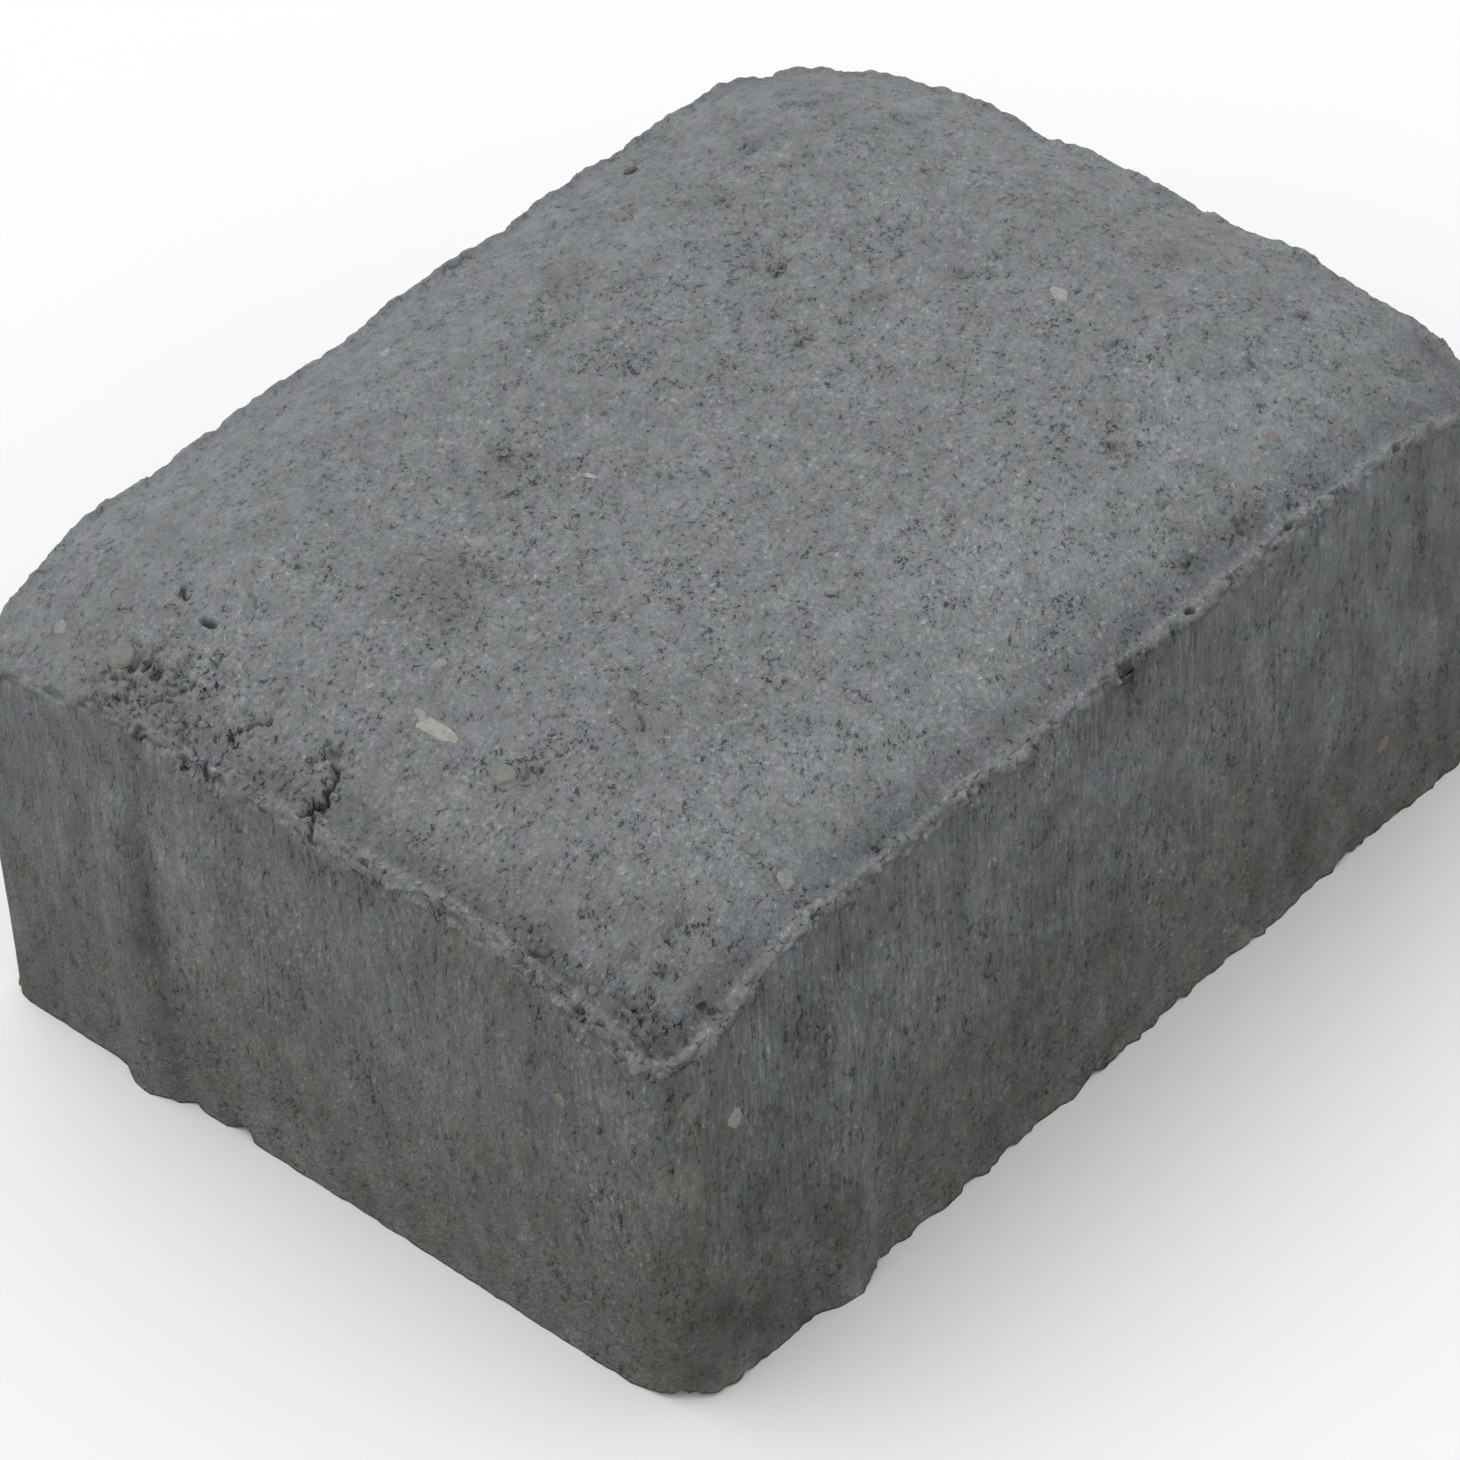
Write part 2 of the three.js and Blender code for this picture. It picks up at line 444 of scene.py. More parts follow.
def layUnderside(net, foot, outward, deepest, s):  # loose triangles between the foot and a coarse grid
    n, pitch, jitter = len(foot), s["underPitch"], s["underJitter"]
    footLine = net.coordsOf(foot)[:, :2]
    inner = [(*(footLine[k] - outward[k] * inset), k)
             for step, inset in s["footRings"] for k in range(0, n, step)]
    random = np.random.default_rng(5)
    reach = s["cornerRadius"]
    for x in np.arange(-halfLength + reach, halfLength - reach, pitch):
        for y in np.arange(-halfWidth + reach, halfWidth - reach, pitch):
            inner.append((*(np.array([x, y]) + random.uniform(-jitter, jitter, 2) * pitch), None))
    flat = [Vector(p) for p in footLine] + [Vector(p[:2]) for p in inner]
    made = delaunay_2d_cdt(flat, [(k, (k + 1) % n) for k in range(n)], [], 1, 1e-6)
    names = []
    for p, origins in zip(made[0], made[3]):
        if origins[0] < n:
            names.append(foot[origins[0]])
            continue
        k = inner[origins[0] - n][2]
        fromFoot = farAway if k is None else (Vector(footLine[k]) - p).length
        facing = (0.0, 0.0) if k is None else outward[k]
        names.append(net.add((p.x, p.y, 0.0), -deepest - fromFoot, net.below, facing))
    net.faces += [tuple(names[i] for i in reversed(face)) for face in made[2]]


def skinObject(s):
    net = Net()
    rim = layTop(net, s)
    foot, outward, deepest = layWalls(net, rim, s)
    layUnderside(net, foot, outward, deepest, s)
    points, edge, side = np.array(net.points), np.array(net.edge), np.array(net.side)
    mesh = bpy.data.meshes.new("stone_skin")
    mesh.from_pydata([tuple(p) for p in points * mm], [], net.faces)
    mesh.update()
    lowest = np.abs(edge[side == net.onWall]).max()
    fromFoot = np.where(side == net.below, np.abs(edge) - lowest, points[:, 2])
    atFoot = np.clip(1 - np.abs(fromFoot) / s["footHeight"], 0, 1) * (side > net.onTop)
    grain = points.copy()
    grain[:, :2] -= s["drawnAcross"] * grain[:, :2].mean(1)[:, None]
    grain[:, 2] /= s["drawnHigh"]
    grain[:, 2] -= ((1 / s["drawnLow"] - 1 / s["drawnHigh"]) * s["drawnReach"]
                    * np.exp(-points[:, 2] / s["drawnReach"]))
    layers = {"edge": edge, "wallShare": side == net.onWall, "underShare": side == net.below, "foot": atFoot,
              "outward": net.outward, "place": points, "grain": grain}
    for name, values in layers.items():
        flat = np.asarray(values, np.float32)
        layer = mesh.attributes.new(name, "FLOAT" if flat.ndim == 1 else "FLOAT_VECTOR", "POINT")
        layer.data.foreach_set("value" if flat.ndim == 1 else "vector", flat.ravel())
    return newPiece("stone_skin", mesh)


stone = skinObject(skin)
print("skin laid: %d points" % len(stone.data.vertices))


# wear that has its own place: cracks, hollows, groups of pits, loose spots, stains, and painted shade and
# light on the left spacer rib
wear = {  # mm, seen from above
    "cracks": (  # half width, depth, then the line
        (0.31, 1, ((-70.6, -0.1), (-71.3, -1.5), (-72.4, -1.9), (-73.4, -1.7), (-74.2, -2.9), (-75, -2.4),
             (-75.8, -1.5), (-77.4, -0.9))),
        (0.26, 0.7, ((-75.8, -1.5), (-77.4, -3), (-78.6, -4.4))),
        (0.24, 0.7, ((-68.2, 2.2), (-69.4, 2.6), (-70.3, 1.6))),
        (0.3, 0.9, ((-71.7, 13), (-70.8, 12.5), (-70.4, 11.4), (-69.6, 10.9))),
        (0.25, 0.7, ((-73.7, 13.3), (-72.9, 13.9), (-72.3, 13.4))),
        (0.3, 0.8, ((-79, 13.2), (-77.8, 13.9), (-76.7, 15))),
        (0.28, 0.9, ((-61.9, 32.6), (-61.5, 33.5), (-60.8, 34.4))),
        (0.2, 0.5, ((-67.3, 29.7), (-66.5, 29.3), (-66.1, 28.5))),
        (0.22, 0.6, ((-74.6, 26.2), (-73.7, 25.4), (-72.9, 24.9), (-72.3, 23.8))),
        (0.2, 0.5, ((-58.9, 23.6), (-57.9, 24.6), (-57.4, 26))),
        (0.24, 0.6, ((-70.6, 35.2), (-69.5, 34.2), (-69.7, 32.4))),
        (0.2, 0.5, ((-53.2, -17), (-51.6, -18.4), (-50.8, -19.6))),
        (0.22, 0.5, ((-47.6, -28), (-46.2, -26.8), (-45.9, -25.9))),
        (0.2, 0.42, ((-74.2, -48.6), (-73.8, -50.5), (-72.5, -51), (-71.2, -50.5))),
        (0.18, 0.3, ((-64.6, -47.6), (-63.3, -47.6))), (0.18, 0.28, ((-70.2, -38.8), (-69.2, -39.5))),
        (0.22, 0.32, ((-76.6, -52.2), (-75.6, -53.6))), (0.2, 0.3, ((-73.4, -55.2), (-72.4, -55.8))),
        (0.24, 0.6, ((-78.2, -50.4), (-78, -52), (-77.2, -52.4))),
        (0.24, 0.5, ((-78.2, -45), (-77.9, -46.5), (-78.1, -47.8), (-77.8, -49))),
        (0.2, 0.45, ((-76.2, -36), (-75.8, -38.2), (-74.5, -38.5))),
        (0.18, 0.3, ((-69, -48.8), (-67.8, -49.5), (-66.8, -49.4))),
        (0.18, 0.3, ((-69.6, -52.2), (-68.6, -53.6), (-67.4, -54))),
    ),
    "hollows": (  # x, y, radius along x and y, depth
        (-69.3, 0.8, 1.2, 1.7, 0.6), (-73.5, -54, 3.4, 2.8, 0.35), (-63.4, 27.3, 0.7, 1.4, 1.5),
        (-71.6, 28.1, 1.3, 0.9, 0.8), (-71.2, 29.9, 1.2, 0.5, 1), (-74.2, 32.8, 0.5, 0.7, 0.9),
        (-77.3, 31, 0.8, 0.4, 0.8), (-71.6, 23.6, 0.5, 0.6, 1), (-70.6, 22.8, 0.9, 0.5, 1.1),
        (-78.6, 24.9, 0.7, 0.5, 0.8), (-76, 18.6, 0.6, 0.6, 0.6), (-78.3, 17.6, 0.6, 0.6, 0.7),
        (-78.8, -3.9, 0.7, 0.6, 1), (-72.2, 11.6, 0.4, 0.4, 0.7), (-67.6, 11.5, 0.5, 0.8, 0.5),
        (-62.2, 12.9, 0.6, 0.3, 0.5), (-71.9, 31.4, 2.2, 0.6, 0.6), (2.8, -58.2, 1.6, 0.9, 1.5),
        (45.6, 37.6, 2.6, 1.3, 0.4), (45.2, 39.2, 1.2, 0.4, 0.7), (66.8, 27, 1.1, 1, 0.35),
        (46.6, -15.1, 0.9, 0.4, 0.7), (72.6, 3, 1.2, 1.2, 0.25), (63.8, -37, 1.7, 0.9, 0.6),
        (50.5, -39.5, 0.5, 1.4, 0.55), (41.3, -25.3, 1.1, 0.5, 0.55), (31, -53.7, 1.4, 0.9, 0.5),
        (29.8, -51.5, 1, 0.6, 0.5), (20.3, -53.3, 0.9, 0.5, 0.55), (26.5, -36.5, 0.9, 0.8, 0.45),
        (24.3, -46.8, 1.2, 0.3, 0.5), (69, -49.8, 1.4, 1.1, 0.3), (-64, -48, 1.3, 0.5, 0.5),
        (15.8, -57.7, 0.7, 0.5, 0.8), (23, -57.9, 0.5, 0.5, 0.7), (34.5, -57.8, 0.8, 0.5, 0.8),
        (43.6, -57.8, 0.6, 0.5, 0.7), (55.4, -57.7, 0.9, 0.6, 0.8), (-10.4, -57.8, 0.6, 0.5, 0.7),
        (-27.2, -57.7, 0.9, 0.5, 0.8), (-39.6, -56.4, 0.8, 0.5, 0.6), (-52.2, -57.8, 0.7, 0.4, 0.7),
        (-77.9, -12, 0.4, 0.6, 0.4), (-77.8, -24.5, 0.4, 0.6, 0.5), (-77.8, -36.8, 0.5, 0.9, 0.5),
    ),
    "pitted": (  # x, y, spread along x and y, how many, smallest and largest radius
        (25.6, 20.3, 0.8, 0.4, 3, 0.4, 0.8), (26.8, 18, 0.7, 0.9, 5, 0.35, 0.8),
        (33.6, 32.4, 0.6, 0.8, 3, 0.4, 0.8), (31.4, 36, 0.2, 0.7, 2, 0.3, 0.6),
        (17.3, 4.9, 0.8, 0.6, 4, 0.4, 0.9), (9, 10, 0.9, 0.5, 4, 0.35, 0.8),
        (29.5, 5, 0.8, 0.6, 4, 0.35, 0.8), (31.2, 3.6, 0.5, 0.4, 2, 0.3, 0.6),
        (44.2, 31, 0.4, 0.4, 2, 0.4, 0.7), (46.6, 30.2, 0.5, 0.4, 2, 0.4, 0.7),
        (62.7, 28.5, 0.7, 0.7, 3, 0.3, 0.7), (8, 37.5, 0.5, 1, 4, 0.3, 0.7),
        (64.2, -36.6, 0.8, 0.4, 4, 0.35, 0.8), (50.5, -39.3, 0.6, 0.5, 3, 0.3, 0.7),
        (27.2, -37.6, 1.2, 0.6, 5, 0.35, 0.8), (-20.6, 18.6, 1.3, 1.2, 7, 0.25, 0.6),
        (-24, 12.5, 2.2, 1.2, 7, 0.22, 0.5), (-46.3, 3.2, 1.6, 1.4, 8, 0.25, 0.6),
        (-40, 7, 3, 2, 8, 0.22, 0.45), (-43.7, -23.8, 1, 0.7, 5, 0.35, 0.7),
        (-46.6, -27.2, 0.8, 0.8, 4, 0.25, 0.6), (-59.8, -21.8, 1, 0.6, 5, 0.3, 0.7),
        (-30, -20.8, 0.6, 0.3, 2, 0.3, 0.5), (-12.9, 43.5, 0.4, 0.4, 2, 0.3, 0.6),
        (-1.2, 31.8, 0.5, 0.5, 3, 0.3, 0.6), (41.3, -25.2, 0.7, 0.5, 3, 0.3, 0.7),
        (31.5, -15.6, 0.5, 0.4, 2, 0.3, 0.6), (61, -18.2, 1.2, 0.4, 4, 0.3, 0.6),
        (40.4, -1, 0.7, 0.5, 3, 0.3, 0.6), (65, -8.4, 0.7, 0.3, 2, 0.3, 0.5),
        (-75.5, 27.5, 2, 4, 10, 0.25, 0.6), (-76.8, 8, 1, 6, 9, 0.25, 0.55),
        (-75.3, -37.2, 0.6, 1.2, 5, 0.25, 0.6), (-63.8, -48, 1.4, 0.4, 6, 0.25, 0.6),
        (-69.7, -40.3, 1, 0.5, 5, 0.25, 0.6), (-52.5, -51.8, 0.4, 0.4, 3, 0.3, 0.6),
        (-39.5, -55.8, 0.9, 0.4, 4, 0.3, 0.6), (24.2, -46.8, 0.8, 0.3, 4, 0.25, 0.5),
        (31, -53.8, 0.8, 0.5, 5, 0.35, 0.8), (20.2, -53.2, 0.5, 0.4, 3, 0.3, 0.6),
        (69, -49.8, 1.2, 0.8, 4, 0.3, 0.6), (9.2, -2.8, 0.4, 0.3, 2, 0.3, 0.6),
    ),
    "looseSpots": (  # x, y, radius along x, radius along y, strength
        (-72, 27, 9, 16, 0.95), (-73.5, 9, 5.5, 14, 0.75), (-77, -30, 2.8, 26, 0.6), (-72, -51, 9, 8, 0.78),
        (-77.5, 47, 2.6, 10, 0.45), (-60, -57, 14, 2.2, 0.5), (-77, -43, 3.6, 9, 0.75),
        (0, -57.8, 74, 1.5, 0.4), (2.8, -57.6, 3.2, 2, 0.7), (-26, -57, 6, 1.8, 0.55),
    ),
    "mounds": (  # x, y, radius, height
        (64, 44, 13, 0.7), (-71.8, 33.8, 3.4, 0.5), (-67.5, 26.5, 4, 0.35), (-74.8, -0.9, 1.5, 0.5),
        (-76, -5.6, 3, 0.4), (-74, 19.5, 3, 0.3), (-69, 17, 3, 0.25), (-71, -49, 2.4, 1),
        (-67.4, -50.8, 1.9, 0.8), (-74, -47.2, 2, 0.85), (-76.6, -51.3, 1.4, 0.9), (-74.7, -53.3, 1.3, 0.75),
        (-69.4, -45.2, 2.2, 0.7), (-72.6, -52, 1.5, 0.75), (-69.8, -53.8, 1.8, 0.8), (-65.9, -46.4, 1.9, 0.7),
        (-66.2, -54.2, 1.6, 0.4), (-75.8, -43.6, 1.8, 0.5), (-72.2, -44.6, 1.6, 0.45),
    ),
    "knocks": (  # place, reach, depth
        ((-78.5, -58.5, 0), 10, 2.4), ((-79.5, 27.6, 0), 2, 1), ((-78.5, 24.4, 0), 1.7, 0.9),
        ((-78.5, 16.2, 0), 2.8, 1.9),
    ),
    # lighter and darker patches: stains, with painted shade and light on the left spacer rib
    "stainsAndShading": (  # place, reach, change of tone, and a shift towards warm
        ((-59, -22, 66), (6, 4, 9), -0.1, 0.6), ((-45.5, -25, 67), (6.5, 3.5, 9), -0.09, 0.6),
        ((-46, 9, 68), (9, 10, 9), -0.19, 0.4), ((-23, 17, 69), (5, 5, 9), -0.08, 0.3),
        ((-68, 38, 62), (10, 14, 9), -0.05, 0.2), ((2, 10, 70), (9, 12, 9), -0.04, 0.1),
        ((8, 38, 68), (6, 5, 9), -0.05, 0.5), ((45.5, 37.8, 66), (4.2, 2.4, 9), -0.13, -0.6),
        ((64, 27, 64), (3.4, 3, 9), -0.09, -0.8), ((66, -16, 65), (9, 4.5, 9), -0.08, 0.7),
        ((32, 33.5, 67), (3, 2.6, 9), -0.08, 0.2), ((29.5, 4.4, 69), (3, 2.6, 9), -0.06, 0.3),
        ((-33, -33, 67), (6, 2.4, 9), -0.06, 0.4), ((4, -20, 69), (12, 5, 9), -0.03, 0.3),
        ((55, 43, 64), (5, 7, 9), 0.06, -0.5), ((22, 30, 68), (4, 10, 9), 0.05, -0.6),
        ((5, -39, 66), (9, 5, 9), 0.07, -0.2), ((44, -39, 65), (14, 7, 9), 0.05, -0.9),
        ((27.5, -14, 69), (3, 3, 9), 0.07, 0), ((-35, 10, 68), (3.4, 3, 9), 0.05, 0.4),
        ((-20, 50, 64), (50, 10, 14), 0.06, -0.6), ((-72, -28, 60), (15, 36, 9), -0.11, 0.8),
        ((74, 9, 62), (16, 45, 12), 0.1, 0), ((0, -42, 66), (70, 7, 9), 0.08, -0.2),
        ((-72, 30, 60), (9, 16, 9), -0.02, 0.5), ((-3, 1, 70), (10, 3, 9), 0.03, 0.3),
        ((66, 33, 62), (7, 6, 9), 0.09, 0), ((60, 49, 60), (16, 6, 9), 0.05, -0.2),
        ((66, -39, 62), (7, 8, 9), 0.08, -0.2), ((-32, 0, 70), (6, 8, 9), -0.05, 0.2),
        ((-65, -46, 62), (6, 5, 9), -0.06, 0.2), ((2.8, -58.4, 59), (1.7, 1.2, 1.6), -0.35, 0.2),
        ((-78.5, 20.2, 43), (4, 4.6, 16), 0.26, -0.2), ((-78.5, 15, 28), (4, 9, 10), 0.11, -0.1),
        # the upright stripes at x -80 and y 24 to 27 paint the left spacer rib's shading: painted shadow down
        # its flank, a painted highlight beside it
        ((-80, 27, 30), (4, 1.6, 34), -0.2, 0.1), ((-80, 26.1, 30), (4, 0.8, 30), -0.12, 0.1),
        ((-80, 24, 38), (4, 1.1, 17), 0.12, 0), ((-80.5, 35.2, 40), (4, 1.2, 9), 0.1, 0.2),
        ((-78.5, 46, 52), (4, 8, 7), 0.04, -0.4), ((-78.5, 30, 22), (4, 2.5, 14), -0.05, 0),
        ((-78.5, -54, 13), (4, 8, 10), -0.18, 0.8), ((-78.5, -7, 47), (4, 6, 9), 0.12, 0),
        ((-78.5, -22, 48), (4, 5, 6), -0.07, 0), ((-36, -58.5, 47), (6, 4, 6), 0.06, 0),
        ((-51, -58.5, 50), (6.5, 4, 7.5), -0.2, 0), ((-47.5, -60, 17), (1.6, 4, 12), 0.14, -0.3),
        ((-64, -60, 28), (11, 4, 24), -0.1, 0), ((60, -58.5, 26), (9, 4, 5.5), 0.24, -0.8),
        ((44, -58.5, 24), (5, 4, 5), 0.14, -0.3), ((30, -58.5, 48), (7, 4, 6), 0.2, -0.1),
        ((-28, -58.5, 46.5), (3, 4, 2.6), -0.1, 0.6), ((-14, -58.5, 21), (7, 4, 4), -0.13, 0.3),
        ((-75, -57, 28), (6, 6, 30), -0.12, 0.9), ((5, -58.5, 42), (14, 4, 9), 0.05, -0.3),
        ((24, -58.5, 26), (7, 4, 5), 0.07, 0), ((-30, -58.5, 36), (9, 4, 8), 0.05, -0.2),
        ((-66, -58.5, 13), (18, 4, 11), -0.06, 0), ((-54, -58.5, 50), (8, 4, 7), -0.06, 0),
        ((60, -58.5, 24), (16, 4, 8), 0.06, 0), ((66, -58.5, 48), (9, 4, 8), 0.06, 0),
        ((-77.5, -44, 55), (3, 9, 8), -0.1, 0.1), ((-70, -55, 55), (9, 1.8, 8), -0.1, -0.4),
        ((-75.5, -55.5, 55), (2, 2, 8), -0.08, -0.3),
    ),
    "finer": ((0.9, 0.45, 1.5), (0.3, 0.8, 0)),  # each pass: near a feature, looser than this, near the rim
    "topEnd": -1.0,  # mm, how far over the rim the wear goes
    "kink": 0.3,  # mm, a crack never runs straight
    "crackEdge": 1.3,  # where a crack sets in, in half widths
    "pitPower": 1.5,  # a higher power makes more of the pits small
    "pitFlat": (0.6, 1.0), "pitDepth": 0.75,  # share of the radius
    "pittedReach": 1.6, "looseCore": 1.6, "looseFall": 1.4, "stainAndShadePower": 1.4, "knockPower": 1.5,
}


def lineDistance(points, line):
    nearest = np.full(len(points), farAway)
    for a, b in zip(np.array(line[:-1]), np.array(line[1:])):
        share = np.clip((points - a) @ (b - a) / ((b - a) @ (b - a)), 0, 1)[:, None]
        nearest = np.minimum(nearest, np.linalg.norm(points - a - share * (b - a), axis=1))
    return nearest


def kinked(line, random, most):
    points = np.array(line)
    middles = (points[:-1] + points[1:]) / 2 + random.uniform(-most, most, (len(points) - 1, 2))
    return np.concatenate([np.stack([points[:-1], middles], 1).reshape(-1, 2), points[-1:]])


def pitList(w):  # x, y, radius along x and y, depth
    random = np.random.default_rng(23)
    pits = []
    for x, y, spreadX, spreadY, count, smallest, largestRadius in w["pitted"]:
        for _ in range(count):
            radius = smallest + (largestRadius - smallest) * random.random() ** w["pitPower"]
            flat = random.uniform(*w["pitFlat"])
            at = random.normal((x, y), (spreadX, spreadY))
            pits.append((*at, radius, radius * flat, w["pitDepth"] * radius))
    return tuple(pits)


allHollows = wear["hollows"] + pitList(wear)
crackKinks = np.random.default_rng(31)
allCracks = [(halfWide, depth, kinked(line, crackKinks, wear["kink"]))
             for halfWide, depth, line in wear["cracks"]]


def ovalDistance(points, x, y, rx=1, ry=1):  # 1 on the oval
    return np.hypot((points[:, 0] - x) / rx, (points[:, 1] - y) / ry)


def wearDistance(points):  # mm to the nearest fine feature
    near = [lineDistance(points, line) - halfWide for halfWide, _, line in allCracks]
    near += [ovalDistance(points, x, y) - max(rx, ry) for x, y, rx, ry, _ in allHollows]
    return np.min(near, axis=0)


def looseness(points, w):
    share = np.zeros(len(points))
    for *oval, strength in w["looseSpots"]:
        near = np.clip(w["looseCore"] - w["looseFall"] * ovalDistance(points, *oval), 0, 1)
        share = np.maximum(share, strength * near)
    return share


def refine(piece, chosen):
    work = bmesh.new()
    work.from_mesh(piece.data)
    work.verts.ensure_lookup_table()
    picked = set(np.flatnonzero(chosen))
    edges = [e for e in work.edges if e.verts[0].index in picked and e.verts[1].index in picked]
    bmesh.ops.subdivide_edges(work, edges=edges, cuts=1, use_grid_fill=True)
    bmesh.ops.triangulate(work, faces=[f for f in work.faces if len(f.verts) > 4])
    work.to_mesh(piece.data)
    work.free()


def readPlaces(piece):
    values = np.empty(len(piece.data.vertices) * 3, np.float32)
    piece.data.vertices.foreach_get("co", values)
    return values.reshape(-1, 3) / mm


def readLayer(piece, name):
    values = np.empty(len(piece.data.vertices), np.float32)
    piece.data.attributes[name].data.foreach_get("value", values)
    return values


def wearSkin(piece, w):
    for room, looseLimit, rimRoom in w["finer"]:
        places, edge = readPlaces(piece), readLayer(piece, "edge")
        onTop = edge > w["topEnd"]
        chosen = onTop & (wearDistance(places[:, :2]) < room)
        chosen |= onTop & (looseness(places[:, :2], w) > looseLimit)
        chosen |= np.abs(edge) < rimRoom
        refine(piece, chosen)
    places, edge = readPlaces(piece), readLayer(piece, "edge")
    flat, onTop = places[:, :2], edge > w["topEnd"]
    carved, pitted, stain, warmth = np.zeros((4, len(places)))
    for halfWide, depth, line in allCracks:
        near = np.clip(w["crackEdge"] - lineDistance(flat, line) / halfWide, 0, 1)
        carved = np.maximum(carved, depth * near)
    for *oval, depth in allHollows:
        carved = np.maximum(carved, depth * np.clip(1 - ovalDistance(flat, *oval) ** 2, 0, 1))
    carved *= onTop
    for x, y, spreadX, spreadY, *_ in w["pitted"]:
        rx, ry = w["pittedReach"] * spreadX + 1, w["pittedReach"] * spreadY + 1
        pitted = np.maximum(pitted, np.exp(-(((flat[:, 0] - x) / rx) ** 2 + ((flat[:, 1] - y) / ry) ** 2)))
    # stains, and the painted shade and light on the left spacer rib
    for at, reach, toneAndShade, warm in w["stainsAndShading"]:
        near = np.exp(-(((places - at) / reach) ** 2).sum(1) ** w["stainAndShadePower"])
        stain += toneAndShade * near
        warmth += warm * near
    places[:, 2] -= carved
    for x, y, radius, height in w["mounds"]:
        near = np.clip(1 - ovalDistance(flat, x, y) / radius, 0, 1)
        places[:, 2] += height * near ** 2 * (3 - 2 * near) * onTop
    for at, reach, depth in w["knocks"]:
        near = np.clip(1 - np.linalg.norm(places - at, axis=1) / reach, 0, 1) ** w["knockPower"]
        inwards = np.sign(-np.array(at)) + (0, 0, 1)
        places += depth * near[:, None] * inwards / np.linalg.norm(inwards)
    piece.data.vertices.foreach_set("co", np.asarray(places * mm, np.float32).ravel())
    layers = {"carved": carved, "loose": looseness(flat, w) * onTop, "pitted": pitted * onTop,
              "stain": stain, "warmth": warmth}
    for name, values in layers.items():
        layer = piece.data.attributes.new(name, "FLOAT", "POINT")
        layer.data.foreach_set("value", np.asarray(values, np.float32))


wearSkin(stone, wear)
print("wear cut: %d points" % len(stone.data.vertices))


# concrete: the fine grain is in the material, partly painted as the light and shade of its fine relief; tint,
# with painted shade and light, and pores come from the shape tree
concreteLook = {
    "sandGrain": (0.4, 1, 0.7, 4), "gritGrain": (0.68, 2, 0.8, 5, 0.5),  # mm, detail, roughness, seed, bend
    "clumpGrain": (2.5, 1, 0.9, 3), "stoneSize": 3.4,  # mm
    # the grit's share is the grain's tone and also paints the light and shade of the fine relief; the pores
    # are painted shade, the glints painted highlights
    "sand": 0.22, "grit": 0.6, "clumps": 0.34, "shadedPores": 0.3, "paintedGlints": 0.5,  # share of the colour
    "stoneTone": 0.3, "stoneHue": (0.05, 0.0, -0.09), "stoneShare": 0.3,
    "stoneRadius": (0.3, 1.1), "stoneUneven": 0.6,  # mm
    "stoneRim": -0.2, "stoneMiddle": 0.42, "gritRise": 0.22, "shadedPoreDepth": 0.18,  # mm
    "gritLean": 0.34,  # how far the marks lean along Y for each step up
    "sandFlat": 0.14, "clumpFlat": 0.9, "wallClumps": 0.1, "wallShadedPores": -0.2,
    "clumpsInShadedPores": 0.35, "shadedPoreRange": (-0.3, -0.44), "paintedGlintRange": (0.2, 0.5),
    "darkest": 0.12, "roughness": (0.84, 0.98), "specular": 0.25,
}


def concreteMaterial(look):
    material, tree, shader = newMaterial("cast_concrete")
    place, grain = readVector(tree, "place"), readVector(tree, "grain")
    sand = noise(flattened(grain, look["sandFlat"]), *look["sandGrain"])
    leaning = joined(grain, vector(y=times(axes(grain)[2], look["gritLean"])))
    grit = noise(leaning, *look["gritGrain"])
    clumps = noise(flattened(grain, look["clumpFlat"]), *look["clumpGrain"])
    crowded = total(grit, times(clumps, look["clumpsInShadedPores"]), times(readNumber(tree, "crowd"), -1.0))
    # painted shade in the tiny pores, and painted glints on the highest grains
    shadedPores = ramp(crowded, *look["shadedPoreRange"])
    paintedGlints = ramp(grit, *look["paintedGlintRange"])

    # small rounded stones that show through the cement
    reach, lot = cells(place, look["stoneSize"], 8)
    rimward = minus(total(reach, times(grit, look["stoneUneven"])), ramp(lot[1], 0, 1, *look["stoneRadius"]))
    inStone = times(ramp(rimward, 0.0, look["stoneRim"]), calc("LESS_THAN", lot[0], look["stoneShare"]))
    stoneLot = times(minus(lot[2], look["stoneMiddle"]), inStone)

    onWall = readNumber(tree, "wallShare")
    # grain tone with the painted light and shade of the fine relief, painted pore shade and painted glints
    marks = total(times(grit, look["grit"]),
                  times(shadedPores, onePlus(onWall, look["wallShadedPores"]), -look["shadedPores"]),
                  times(paintedGlints, look["paintedGlints"]))
    shade = total(1.0, times(marks, readNumber(tree, "contrast")),
                  times(sand, readNumber(tree, "streaks"), look["sand"]),
                  times(clumps, onePlus(onWall, look["wallClumps"]), look["clumps"]),
                  times(stoneLot, look["stoneTone"]))
    hue = joined(scaled(look["stoneHue"], stoneLot), (1.0, 1.0, 1.0))
    # the tint carries the painted shade and light of the shape tree
    tint = joined(readColour(tree, "tint"), hue, "MULTIPLY")
    height = minus(times(grit, look["gritRise"]), times(shadedPores, look["shadedPoreDepth"]))
    finishMaterial(tree, shader, scaled(tint, largest(shade, look["darkest"])),
                   ramp(clumps, -1, 1, *look["roughness"]), look["specular"], height)
    return material


concrete = concreteMaterial(concreteLook)
